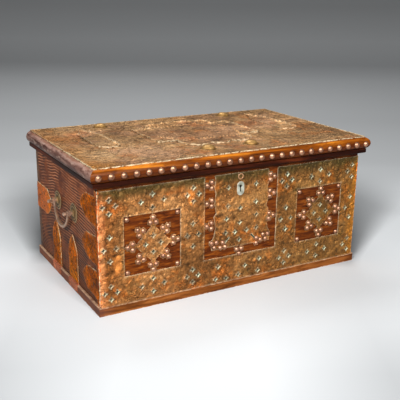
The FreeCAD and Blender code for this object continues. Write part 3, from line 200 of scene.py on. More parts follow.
class Sheet(Shade):
    """Hand-beaten sheet: mottled tones, copper where it is rubbed, olive and dark elsewhere."""

    def __init__(self, name, tones, warm, cool, spots=0.45, crisp=1.0):
        super().__init__(name)
        self.broad = self.noise(9.0, 5.0, 0.62, warp=0.6)
        self.fine = self.noise(75.0, 5.0, 0.7)
        self.grit = self.noise(260.0, 4.0, 0.75)
        self.colour = self.ramp(self.broad, zip((0.34, 0.45, 0.55, 0.66), tones))
        self.lay(self.patches(19.0, 5.0, 0.65, 0.53, 0.64, shift=(3, 5, 1)), 0.8, warm)
        self.lay(self.patches(26.0, 6.0, 0.72, 0.54, 0.66, shift=(9, 2, 7)), spots, cool)
        self.tint(self.between(self.fine, 0.5, 0.68), 0.65 * crisp, (1.7, 1.6, 1.4))
        self.tint(self.between(self.fine, 0.44, 0.36), 0.55 * crisp, (0.36, 0.33, 0.29))
        self.tint(self.between(self.grit, 0.49, 0.38), 0.75 * crisp, (0.32, 0.29, 0.27))

    def finish(self, rough=0.42, metal=0.62, gloss=0.25, bare_from=0.3, rubbed=1.0):
        """Painted highlights on cut edges, pressed rims and crests, with wear; dirt and painted
        shade in dents; verdigris in the hollows, wrinkles and hammer marks.
        """
        # Painted highlight with wear on the crests, dirt and painted shade in the dents
        self.tint(self.mask("crest"), 0.7, (1.7, 1.5, 1.25))
        self.lay(self.mask("dirt"), 1.0, (0.05, 0.032, 0.015))
        # Wrinkles: a painted highlight along each ridge and painted shade in the ditch beside it
        wrinkle = self.away(self.noise(31.0, 4.0, 0.55), 0.5)
        ridge = self.between(wrinkle, 0.014, 0.003)
        self.tint(ridge, 0.4, (1.7, 1.55, 1.35))
        ditch = self.between(self.away(wrinkle, 0.026), 0.009, 0.002)
        self.tint(ditch, 0.4, (0.4, 0.36, 0.33))
        # Cut edges: worn bare metal with a painted highlight, kept out of the metal so they stay
        # pale
        worn = self.patches(150.0, 3.0, 0.6, bare_from, bare_from + 0.14)
        bare_and_highlight = self.times(self.times(self.mask("edge"), worn), rubbed)
        self.lay(bare_and_highlight, 1.0, (0.95, 0.8, 0.52))
        # Painted highlight on the pressed rims of the star holes
        self.lay(self.mask("rim"), 1.0, (0.84, 0.88, 0.62))
        self.lay(self.mask("hollow"), 1.0, (0.014, 0.035, 0.027))
        dull = self.maths("MAXIMUM", self.maths("MAXIMUM", self.mask("rim"), self.mask("hollow")),
                          bare_and_highlight)
        self.surface(self.between(self.fine, 0.3, 0.7), 0.25, rough, gloss,
                     self.times(self.maths("SUBTRACT", 1.0, dull), metal))
        marks = self.between(self.cells(110.0, "SMOOTH_F1"), 0.0, 0.7)
        scratch = self.noise(130.0, 3.0, 0.6, place=self.scaled((1, 1, 0.35), (1, 2, 3)))
        height = self.plus(marks, 0.8, self.fine)
        for pattern, share in ((self.grit, 0.3), (scratch, 0.5), (ridge, 0.25), (ditch, -0.25)):
            height = self.plus(pattern, share, height)
        return self.bump(height, 3.4 * MM, 1.0)


# Places across and up where the sheet is rubbed to orange copper, with a radius and a strength
RUBBED_SPOTS = [((-0.112, 0.207), 0.011, 0.9), ((0.075, 0.052), 0.008, 0.6),
                ((-0.265, 0.1), 0.012, 0.6), ((-0.018, 0.13), 0.008, 0.5)]


def front_brass():
    """Copper towards the left corner, olive to the right, a golden right edge and a painted shadow
    along the top, under the lid.
    """
    sheet = Sheet("front_brass", [(0.23, 0.096, 0.028), (0.36, 0.153, 0.046), (0.5, 0.22, 0.07),
                                  (0.63, 0.3, 0.105)], (0.66, 0.2, 0.036), (0.15, 0.115, 0.035))
    across = sheet.axis("X")
    olive = sheet.between(sheet.plus(sheet.broad, 0.2, across), 0.0, 0.3)
    sheet.tint(olive, 0.8, (0.64, 0.7, 0.56))
    golden = sheet.between(sheet.plus(sheet.fine, 0.03, across), 0.29, 0.31)
    sheet.lay(golden, 1.0, (0.52, 0.2, 0.026))
    copper = sheet.between(sheet.plus(sheet.broad, 0.07, across), -0.225, -0.275)
    sheet.tint(copper, 0.8, (1.35, 1.0, 0.66))
    salmon = sheet.between(sheet.plus(sheet.fine, 0.022, across), -0.274, -0.283)
    pink = sheet.ramp(sheet.fine, [(0.38, (0.55, 0.15, 0.04)), (0.52, (1.0, 0.4, 0.14))])
    sheet.lay(salmon, 0.85, pink)
    squash = 0.6
    for (spot_across, spot_up), radius, strength in RUBBED_SPOTS:
        far = sheet.add("ShaderNodeVectorMath", operation="DISTANCE")
        sheet.put(far.inputs[0], sheet.scaled((1, 0, squash)))
        far.inputs[1].default_value = (spot_across, 0, spot_up * squash)
        off = sheet.plus(sheet.fine, -0.02, far.outputs["Value"])
        sheet.lay(sheet.between(off, radius - 0.01, radius - 0.014), strength, (0.95, 0.33, 0.07))
    # Painted shadow: a dark band along the top of the sheet, under the lid
    top = sheet.between(sheet.plus(sheet.fine, 0.04, sheet.axis("Z")), 0.238, 0.256)
    sheet.lay(top, 0.85, (0.085, 0.062, 0.018))
    return sheet.finish(gloss=0.16)


def lid_brass():
    """Golden at the front left corner, brown at the back, with cracks and pits, a painted highlight
    on the crests and painted shade over the left part.
    """
    sheet = Sheet("lid_brass", [(0.26, 0.138, 0.056), (0.44, 0.242, 0.102), (0.6, 0.34, 0.152),
                                (0.78, 0.47, 0.225)], (0.58, 0.23, 0.07), (0.19, 0.145, 0.07),
                  spots=0.4, crisp=0.7)
    across = sheet.axis("X")
    along = sheet.axis("Y")
    sheet.tint(sheet.patches(9.0, 4.0, 0.6, 0.48, 0.58, shift=(7, 3, 2)), 0.4, (0.84, 0.72, 1.0))
    # Painted highlight with wear: light tan on the crests
    sheet.lay(sheet.mask("crest"), 0.5, (0.66, 0.46, 0.25))
    ragged_along = sheet.plus(sheet.broad, 0.16, along)
    ragged_across = sheet.plus(sheet.broad, 0.16, across)
    front = sheet.between(ragged_along, -0.05, -0.11)
    corner = sheet.between(ragged_across, -0.16, -0.25)
    sheet.lay(corner, sheet.plus(front, 0.5, 0.3), (0.68, 0.27, 0.045))
    sheet.lay(sheet.between(ragged_along, 0.2, 0.28), 0.3, (0.36, 0.2, 0.065))
    # Painted shade over the left part of the lid
    sheet.tint(sheet.between(across, -0.02, -0.22), 0.75, (0.82, 0.84, 0.86))
    long_place = sheet.scaled((0.55, 1.3, 1), (5, 1, 0))
    crack = sheet.away(sheet.noise(13.0, 5.0, 0.6, place=long_place), 0.5)
    sheet.tint(sheet.between(crack, 0.008, 0.002), 0.7, (0.3, 0.24, 0.24))
    pits = sheet.between(sheet.cells(46.0, place=sheet.scaled((1, 1, 0))), 0.09, 0.05)
    sheet.lay(pits, 0.85, (0.05, 0.022, 0.015))
    rubbed = sheet.plus(sheet.between(along, 0.12, -0.14), 0.65, 0.35)
    return sheet.finish(rough=0.46, bare_from=0.36, rubbed=rubbed)


def end_copper():
    """Orange with dark pits, salmon below the plinth's top, duller on the two straps."""
    sheet = Sheet("end_copper", [(0.22, 0.048, 0.001), (0.5, 0.115, 0.002), (0.8, 0.195, 0.004),
                                 (1.0, 0.3, 0.008)], (0.78, 0.18, 0.008), (0.14, 0.065, 0.004),
                  spots=0.6, crisp=1.3)
    low = sheet.between(sheet.plus(sheet.fine, 0.008, sheet.axis("Z")), 0.026, 0.023)
    salmon = sheet.ramp(sheet.fine, [(0.4, (0.62, 0.2, 0.1)), (0.6, (0.88, 0.32, 0.18))])
    sheet.lay(low, 0.85, salmon)
    along = sheet.axis("Y")
    straps = sheet.times(sheet.between(along, -0.13, -0.1), sheet.between(along, 0.08, 0.06))
    sheet.tint(straps, 1.0, (0.72, 0.74, 0.8))
    sheet.lay(sheet.between(along, 0.085, 0.12), 0.5, (0.8, 0.24, 0.09))
    cell = sheet.cells(105.0, place=sheet.scaled((0, 1, 1)))
    sheet.tint(sheet.between(cell, 0.46, 0.36), 0.5, (1.5, 1.4, 1.3))
    sheet.lay(sheet.between(cell, 0.3, 0.22), 0.85, (0.07, 0.035, 0.008))
    return sheet.finish(rough=0.5, metal=0.5, gloss=0.03)


def corner_copper():
    """Where the sheet is folded: bright copper at the left corner, golden at the right one."""
    sheet = Sheet("corner_copper", [(0.6, 0.125, 0.028), (0.9, 0.22, 0.055), (1.0, 0.3, 0.095),
                                    (1.0, 0.41, 0.165)], (0.9, 0.23, 0.06), (0.4, 0.17, 0.045),
                  spots=0.35)
    sheet.tint(sheet.between(sheet.axis("X"), 0.0, 0.1), 1.0, (0.8, 0.75, 0.3))
    return sheet.finish(metal=0.45, gloss=0.1)


def cast_metal(name, dark, middle, light, rough=0.34, metal=0.8, worn=(0.85, 0.7, 0.6)):
    """Cast or stamped metal: dirt and painted shade at its foot and in its grooves, rubbed bright
    and with a painted highlight on what stands out.
    """
    shade = Shade(name)
    broad = shade.noise(90.0, 4.0, 0.6)
    shade.colour = shade.ramp(broad, [(0.32, dark), (0.5, middle), (0.68, light)])
    stands_out = shade.add("ShaderNodeNewGeometry").outputs["Pointiness"]
    # Wear and painted highlight where the surface stands out
    shade.lay(shade.between(stands_out, 0.5, 0.56), 0.4, worn)
    # Dirt and painted shade on the rings that the profile marks, at the foot and in grooves
    shade.lay(shade.mask("dirt"), 1.0, tuple(c * 0.3 for c in dark))
    shade.surface(broad, 0.3, rough, 0.3, metal)
    return shade.bump(shade.noise(500.0, 3.0, 0.6), 0.4 * MM, 0.5)


class Wood(Shade):
    """Old hardwood: long grain of the given stretch, fine pores and darker patches of wax."""

    def __init__(self, name, dark, middle, light, stretch, grain=55.0):
        super().__init__(name)
        long_place = self.scaled(stretch)
        self.rings = self.noise(grain, 5.0, 0.6, place=long_place, warp=0.9)
        self.pores = self.noise(grain * 7, 3.0, 0.6, place=long_place)
        self.colour = self.ramp(self.rings, [(0.3, dark), (0.5, middle), (0.68, light)])
        self.lay(self.between(self.pores, 0.58, 0.7), 0.5, tuple(c * 0.35 for c in dark))
        self.tint(self.patches(9.0, 3.0, 0.5, 0.5, 0.68), 0.55, (0.55, 0.45, 0.45))

    def finish(self, rough=0.42, coat=0.05, gloss=0.3):
        self.surface(self.rings, 0.25, rough, gloss)
        self.set("Coat Weight", coat)
        self.set("Coat Roughness", 0.3)
        return self.bump(self.plus(self.pores, -0.6, self.rings), 0.8 * MM, 0.7)

    def wavy_height(self, scale, reach, stretch=(1, 1, 1)):
        """The height in the frame, made to wander by a noise."""
        place = self.scaled(stretch)
        return self.plus(self.noise(scale, 4.0, 0.65, place=place), reach, self.axis("Z"))


def front_wood():
    """Red-brown board behind the windows, in fine short grain, darker to the right."""
    wood = Wood("front_wood", (0.03, 0.005, 0.0006), (0.15, 0.03, 0.002), (0.36, 0.1, 0.008),
                (0.5, 3.2, 3.2), grain=60.0)
    wood.tint(wood.between(wood.axis("X"), -0.15, 0.2), 0.8, (0.66, 0.62, 0.6))
    return wood.finish(gloss=0.12)


def lid_wood():
    """Polished by hands on its upper edge, with patches of old wax, and painted shade on the lower
    part of its round front, from about the nails down.
    """
    wood = Wood("lid_wood", (0.06, 0.012, 0.001), (0.3, 0.075, 0.003), (0.64, 0.21, 0.014),
                (0.1, 1.6, 1.6))
    up = wood.wavy_height(45.0, 0.016, (0.5, 1, 1))
    # Painted shade: darker below about the nails' line, where the round front turns down
    wood.tint(wood.between(up, 0.29, 0.28), 0.85, (0.24, 0.13, 0.1))
    worn = wood.patches(95.0, 5.0, 0.7, 0.55, 0.66, (0.3, 1, 1), (6, 1, 4))
    wood.tint(worn, 0.8, (0.3, 0.2, 0.14))
    return wood.finish(rough=0.38, coat=0.04, gloss=0.18)


def side_lid_wood():
    """Grey-purple with old wax, a painted highlight in a pale band below its dark upper edge, and
    painted shade on its lower part.
    """
    wood = Wood("side_lid_wood", (0.06, 0.024, 0.018), (0.2, 0.1, 0.076), (0.36, 0.215, 0.165),
                (1.6, 0.1, 1.6))
    up = wood.wavy_height(60.0, 0.012, (1, 0.3, 1))
    # Painted highlight: a pale band just below the upper edge, which itself stays dark
    wood.lay(wood.between(up, 0.2835, 0.2875), 0.7, (0.5, 0.31, 0.25))
    wood.lay(wood.between(up, 0.2865, 0.2885), 0.75, (0.19, 0.07, 0.03))
    # Painted shade on the lower part of the round side
    wood.tint(wood.between(up, 0.277, 0.27), 0.7, (0.35, 0.26, 0.26))
    worn = wood.patches(80.0, 5.0, 0.72, 0.5, 0.62, (1, 0.4, 1), (2, 5, 1))
    wood.tint(worn, 0.85, (0.3, 0.2, 0.18))
    pale = wood.patches(130.0, 4.0, 0.7, 0.55, 0.64, (1, 0.25, 1), (3, 1, 8))
    wood.lay(pale, 0.6, (0.46, 0.32, 0.25))
    return wood.finish(rough=0.45, coat=0.03, gloss=0.25)


def end_wood():
    """Flat-sawn boards: the rings show as nested arches that flatten towards the top."""
    ring_half_pitch = 2.9 * MM
    wood = Wood("end_wood", (0.028, 0.006, 0.002), (0.12, 0.027, 0.008), (0.23, 0.062, 0.02),
                (1, 0.3, 1))
    along = wood.plus(wood.noise(7.0, 2.0, 0.5), 0.05, wood.axis("Y"))
    up = wood.plus(wood.noise(9.0, 2.5, 0.5), 0.026, wood.axis("Z"))
    squared = wood.maths("ADD", wood.maths("POWER", wood.times(along, 0.5), 2.0),
                         wood.maths("POWER", wood.maths("ADD", up, 0.02), 2.0))
    line = wood.maths("PINGPONG", wood.maths("SQRT", squared), ring_half_pitch)
    fade = wood.patches(16.0, 4.0, 0.65, 0.36, 0.54, shift=(4, 4, 4))
    high = wood.between(wood.axis("Z"), 0.03, 0.2)
    fade = wood.times(fade, wood.plus(high, 0.6, 0.35))
    wood.lay(wood.between(line, 1.7 * MM, 2.8 * MM), fade, (0.72, 0.3, 0.14))
    low = wood.between(wood.plus(wood.rings, 0.1, wood.axis("Z")), 0.24, 0.1)
    wood.tint(low, 0.75, (0.45, 0.4, 0.22))
    red = wood.patches(22.0, 4.0, 0.6, 0.52, 0.64, shift=(8, 1, 5))
    wood.lay(red, 0.5, (0.26, 0.065, 0.015))
    return wood.finish(rough=0.45, coat=0.02, gloss=0.12)


def plinth_wood():
    """A pale broken line on its upper edge, chips where it meets the floor, darker on the end."""
    wood = Wood("plinth_wood", (0.07, 0.018, 0.004), (0.22, 0.064, 0.012), (0.4, 0.135, 0.03),
                (0.2, 0.2, 2))
    across = wood.axis("X")
    up = wood.plus(wood.noise(120.0, 4.0, 0.7), 0.0022, wood.axis("Z"))
    wood.tint(wood.between(across, -0.294, -0.298), 0.6, (0.5, 0.36, 0.28))
    broken = wood.plus(wood.patches(70.0, 4.0, 0.7, 0.4, 0.58), 0.65, 0.25)
    wood.lay(wood.between(up, 0.0162, 0.0168), broken, (0.62, 0.42, 0.26))
    chips = wood.patches(85.0, 3.0, 0.6, 0.5, 0.56)
    wood.lay(wood.between(up, 0.0024, 0.0016), chips, (0.55, 0.35, 0.22))
    wood.lay(wood.between(across, -0.27, -0.3), 0.3, (0.26, 0.11, 0.08))
    return wood.finish(rough=0.4, coat=0.0, gloss=0.08)


MATERIALS = {
    "front_brass": front_brass(),
    "lid_brass": lid_brass(),
    "end_copper": end_copper(),
    "corner_copper": corner_copper(),
    "nail_copper": cast_metal("nail_copper", (0.2, 0.07, 0.035), (0.44, 0.19, 0.1),
                              (0.62, 0.31, 0.18), rough=0.36, worn=(0.78, 0.5, 0.34)),
    "boss_brass": cast_metal("boss_brass", (0.2, 0.085, 0.02), (0.48, 0.25, 0.07),
                             (0.66, 0.4, 0.14), rough=0.4, metal=0.6, worn=(0.75, 0.5, 0.2)),
    "handle_brass": cast_metal("handle_brass", (0.2, 0.085, 0.035), (0.52, 0.27, 0.13),
                               (0.78, 0.46, 0.25), rough=0.3, metal=0.75),
    "rose_brass": cast_metal("rose_brass", (0.12, 0.07, 0.024), (0.34, 0.2, 0.075),
                             (0.56, 0.36, 0.15), rough=0.38, metal=0.65, worn=(0.9, 0.68, 0.42)),
    "escutcheon_metal": cast_metal("escutcheon_metal", (0.24, 0.27, 0.2), (0.55, 0.58, 0.47),
                                   (0.82, 0.84, 0.72), rough=0.38, metal=0.6),
    "ring_copper": cast_metal("ring_copper", (0.5, 0.2, 0.08), (0.7, 0.32, 0.12),
                              (0.85, 0.5, 0.25)),
    "iron": cast_metal("iron", (0.02, 0.017, 0.015), (0.05, 0.042, 0.036), (0.1, 0.085, 0.07),
                       rough=0.5, worn=(0.2, 0.18, 0.16)),
    "front_wood": front_wood(),
    "inner_wood": Wood("inner_wood", (0.06, 0.025, 0.012), (0.13, 0.06, 0.03),
                       (0.22, 0.11, 0.055), (0.12, 0.12, 1)).finish(rough=0.6),
    "end_wood": end_wood(),
    "plinth_wood": plinth_wood(),
    "lid_wood": lid_wood(),
    "side_lid_wood": side_lid_wood(),
    # The lip is nearly black: dark wood, and painted shade for its place inset under the nosing
    "lip_wood": Wood("lip_wood", (0.007, 0.0015, 0.0005), (0.028, 0.0045, 0.001),
                     (0.11, 0.02, 0.004), (0.06, 0.06, 1)).finish(coat=0.02, gloss=0.1),
}

# CAD nodes that keep their shape and get one of these materials in place of their plain colour
KEPT_SHAPES = {
    "front_wood": ["front_board"],
    "inner_wood": ["back_board", "bottom_board"],
    "end_wood": ["left_end_board", "right_end_board"],
    "plinth_wood": ["front_plinth", "back_plinth", "left_plinth", "right_plinth"],
    "lid_wood": ["lid_board", "front_nosing"],
    "side_lid_wood": ["left_nosing", "right_nosing"],
    "lip_wood": ["front_lip", "left_lip", "right_lip"],
    "end_copper": ["left_front_strap", "right_front_strap", "left_rear_strap",
                   "right_rear_strap"],
    "handle_brass": ["left_handle_posts", "right_handle_posts", "left_bail", "right_bail"],
    "iron": ["left_hinge_leaf", "right_hinge_leaf", "left_hinge_strap", "right_hinge_strap",
             "left_hinge_pin", "right_hinge_pin", "lock_case", "lock_bolt", "lock_catch"],
}


def paint(node, material):
    slots = NODES[node].material_slots
    if not slots:
        NODES[node].data.materials.append(None)
    for slot in slots:
        slot.material = material


for key, names in KEPT_SHAPES.items():
    for node_name in names:
        paint(node_name, MATERIALS[key])


def dressed(name, mesh, material, body, nodes=()):
    """A smooth piece that rides on a body and stands in for the nodes."""
    mesh.materials.append(MATERIALS[material])
    mesh.polygons.foreach_set("use_smooth", [True] * len(mesh.polygons))
    obj = bpy.data.objects.new(name, mesh)
    bpy.context.scene.collection.objects.link(obj)
    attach(obj, body)
    if nodes:
        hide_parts(*nodes)
    return obj


class Shell:
    """Vertices and faces of a piece, with the masks that its material reads."""

    def __init__(self):
        self.verts, self.faces = [], []
        self.masks = {key: [] for key in ("edge", "rim", "hollow", "dirt", "crest")}

    def point(self, place, **values):
        self.verts.append(place)
        for key, numbers in self.masks.items():
            numbers.append(values.get(key, 0.0))
        return len(self.verts) - 1

    def piece(self, name, material, body, nodes=()):
        mesh = bpy.data.meshes.new(name)
        mesh.from_pydata([tuple(v) for v in self.verts], [], self.faces)
        mesh.validate()
        mesh.update()
        for key, numbers in self.masks.items():
            attribute = mesh.attributes.new(key, "FLOAT", "POINT")
            attribute.data.foreach_set("value", numbers)
        return dressed(name, mesh, material, body, nodes)


# Sheets: the outline and holes come from the node's outer face, the surface is beaten anew


def held(share, most=1.0):
    return max(0.0, min(most, share))


def face_loops(node, face, level, reach=0.02 * MM):
    """Closed outlines, as pairs in the face's directions, of a node's flat face at a level."""
    first, second, outward = FACES[face]
    mesh = NODES[node].data
    edges = {}
    for polygon in mesh.polygons:
        corners = [mesh.vertices[k].co for k in polygon.vertices]
        if polygon.normal.dot(outward) < 0.99:
            continue
        if any(abs(corner.dot(outward) - level) > reach for corner in corners):
            continue
        keys = [(round(c.dot(first) * 1e6), round(c.dot(second) * 1e6)) for c in corners]
        for start, end in zip(keys, keys[1:] + keys[:1]):
            if (end, start) in edges:
                del edges[(end, start)]
            else:
                edges[(start, end)] = True
    follow = {}
    for start, end in edges:
        follow.setdefault(start, []).append(end)
    loops = []
    while follow:
        start = next(iter(follow))
        loop = [start]
        here = start
        while True:
            options = follow[here]
            there = options.pop()
            if not options:
                del follow[here]
            if there == start:
                break
            loop.append(there)
            here = there
        if len(loop) > 2:
            loops.append([(a * 1e-6, b * 1e-6) for a, b in loop])
    return loops


def area_of(loop):
    total = 0.0
    for (a, b), (c, d) in zip(loop, loop[1:] + loop[:1]):
        total += a * d - b * c
    return total / 2


def divided(loop, step):
    points = []
    for (a, b), (c, d) in zip(loop, loop[1:] + loop[:1]):
        count = max(1, math.ceil(math.hypot(c - a, d - b) / step))
        for k in range(count):
            points.append((a + (c - a) * k / count, b + (d - b) * k / count))
    return points


def spread(loop, reach):
    """The loop moved outward from what it encloses by about the reach."""
    middle_u = sum(u for u, _ in loop) / len(loop)
    middle_v = sum(v for _, v in loop) / len(loop)
    result = []
    for u, v in loop:
        out = Vector((u - middle_u, v - middle_v))
        out *= 1 + reach / max(out.length, 1e-6)
        result.append((middle_u + out.x, middle_v + out.y))
    return result


class Inside:
    """Tells whether a point lies in the area that loops bound, by even and odd crossings."""

    def __init__(self, loops, band=2 * MM):
        self.band = band
        self.rows = {}
        for loop in loops:
            for (a, b), (c, d) in zip(loop, loop[1:] + loop[:1]):
                low, high = min(b, d), max(b, d)
                for row in range(int(low // band), int(high // band) + 1):
                    self.rows.setdefault(row, []).append((a, b, c, d))

    def __call__(self, u, v):
        inside = False
        for a, b, c, d in self.rows.get(int(v // self.band), ()):
            if (b > v) != (d > v) and u < a + (v - b) * (c - a) / (d - b):
                inside = not inside
        return inside


def noise_at(u, v, scale, seed):
    return noise.noise(Vector((u * scale, v * scale, seed)))


# Long creases: where each starts and ends, across and up the face, and its height in millimetres
FRONT_CREASES = [
    (-0.296, 0.066, -0.252, 0.084, 1.5), (-0.296, 0.118, -0.252, 0.124, 1.3),
    (-0.3, 0.205, -0.25, 0.2, 0.8), (-0.25, 0.044, -0.13, 0.052, 0.7),
    (-0.13, 0.212, -0.085, 0.196, 0.9), (-0.12, 0.09, -0.085, 0.13, 0.8),
    (-0.066, 0.162, 0.07, 0.172, 1.1), (-0.05, 0.118, 0.066, 0.112, 0.7),
    (0.092, 0.118, 0.138, 0.136, 1.2), (0.1, 0.165, 0.136, 0.15, 0.8),
    (0.258, 0.12, 0.3, 0.128, 1.2), (0.262, 0.062, 0.3, 0.075, 0.9),
    (-0.02, 0.052, 0.12, 0.045, 0.8), (0.12, 0.05, 0.25, 0.058, 0.6),
    (-0.24, 0.212, -0.14, 0.222, 0.7), (0.12, 0.215, 0.28, 0.205, 0.6),
]
LID_CREASES = [
    (-0.3, -0.06, -0.16, -0.02, 0.9), (-0.26, 0.1, -0.1, 0.13, 0.9),
    (0.13, -0.12, 0.29, -0.09, 0.8), (-0.08, 0.15, 0.12, 0.17, 1.0),
    (0.14, 0.02, 0.3, 0.05, 0.9), (-0.22, -0.16, -0.04, -0.14, 0.7),
]
CREASE_WIDTH = 2.4 * MM
CREASE_WANDER = 3.5 * MM
# A crease runs on past its ends by this share of its length, and has a shallow furrow beside it
CREASE_PAST = 0.15
FURROW_SHARE = 0.35
FURROW_OFF = 5 * MM
FURROW_WIDTH = 3.5 * MM


def folds(creases):
    """Height of long creases at a place."""
    def height(u, v):
        total = 0.0
        for a, b, c, d, millimetres in creases:
            run_u, run_v = c - a, d - b
            length_squared = run_u ** 2 + run_v ** 2
            share = ((u - a) * run_u + (v - b) * run_v) / length_squared
            if -CREASE_PAST < share < 1 + CREASE_PAST:
                off = ((u - a) * run_v - (v - b) * run_u) / math.sqrt(length_squared)
                off += CREASE_WANDER * noise_at(u, v, 60, a * 40)
                tall = millimetres * MM * held((min(share, 1 - share) + CREASE_PAST) / 0.2)
                total += tall * math.exp(-(off / CREASE_WIDTH) ** 2)
                furrow = (off - FURROW_OFF) / FURROW_WIDTH
                total -= FURROW_SHARE * tall * math.exp(-furrow ** 2)
        return total
    return height


def beaten(u, v, seed, depth=0.8 * MM):
    """How far a beaten sheet stands off the wood: broad waves, dents and small hammer marks."""
    wave = noise_at(u, v, 11, seed) * 0.8 + noise_at(u, v, 30, seed + 7) * 0.7
    near = noise.voronoi(Vector((u * 70, v * 70, seed + 3)))[0][0]
    marks = noise_at(u, v, 110, seed + 11)
    return depth * (0.9 + wave * 0.8 - 1.2 * max(0.0, 0.45 - near) + marks * 1.1)


def wandering(loop, seed, reach):
    """A cut edge that follows its line by hand and not by rule."""
    result = []
    for k, (a, b) in enumerate(loop):
        before, after = loop[k - 1], loop[(k + 1) % len(loop)]
        run = Vector((after[0] - before[0], after[1] - before[1]))
        off = reach * (noise_at(a, b, 45, seed) + 0.6 * noise_at(a, b, 140, seed + 4))
        if run.length > 0:
            run.normalize()
        result.append((a - run.y * off, b + run.x * off))
    return result


def triangulated(loops, extra=()):
    """Points, the triangles inside the loops and each point's places among the given points."""
    points, constraints = [], []
    for loop in loops:
        start = len(points)
        points += [Vector(pair) for pair in loop]
        constraints += [(start + k, start + (k + 1) % len(loop)) for k in range(len(loop))]
    points += [Vector(pair) for pair in extra]
    flat, _, triangles, origins, _, _ = geometry.delaunay_2d_cdt(points, constraints, [], 0, 1e-7)
    inside = Inside(loops)
    kept = []
    for triangle in triangles:
        if inside(sum(flat[k].x for k in triangle) / 3, sum(flat[k].y for k in triangle) / 3):
            kept.append(tuple(triangle))
    return flat, kept, origins


def scattered(loops, fixed, step, rand):
    """Points spread over the area in the loops, a step apart and clear of the fixed points."""
    inside = Inside(loops)
    taken = {}
    for u, v in fixed:
        taken.setdefault((int(u // step), int(v // step)), []).append((u, v))
    low_u, high_u = min(p[0] for p in fixed), max(p[0] for p in fixed)
    low_v, high_v = min(p[1] for p in fixed), max(p[1] for p in fixed)
    result = []
    for row in range(int((high_v - low_v) / step) + 2):
        for column in range(int((high_u - low_u) / step) + 2):
            u = low_u + (column + 0.5 * (row % 2) + rand.uniform(-0.2, 0.2)) * step
            v = low_v + (row + rand.uniform(-0.2, 0.2)) * step
            if not inside(u, v):
                continue
            cell = (int(u // step), int(v // step))
            near = [p for i in (-1, 0, 1) for j in (-1, 0, 1)
                    for p in taken.get((cell[0] + i, cell[1] + j), ())]
            if all((p[0] - u) ** 2 + (p[1] - v) ** 2 > (0.55 * step) ** 2 for p in near):
                result.append((u, v))
    return result


# Pressed star holes: a raised rim with a painted highlight, a gutter round it with dirt and painted
# shade, and a floor on the wood
SMALL_HOLE = 90 * MM * MM
RIM_REACH = 0.75 * MM
RIM_TALL = 0.5 * MM
GUTTER_REACH = 1.9 * MM
FLOOR_INSET = 0.35 * MM
# The beaten surface never dips below this height over the node's face
LEAST_HEIGHT = 0.05 * MM
# Dirt and painted shade darken the sheet below the first height, and painted highlight with wear
# brightens the crests above the second
DIRT_AND_SHADE_BELOW, DIRT_AND_SHADE_FADE = 0.25 * MM, 0.4 * MM
CREST_ABOVE, CREST_FADE = 1.1 * MM, 0.8 * MM
HEM_TALL = 2.6 * MM


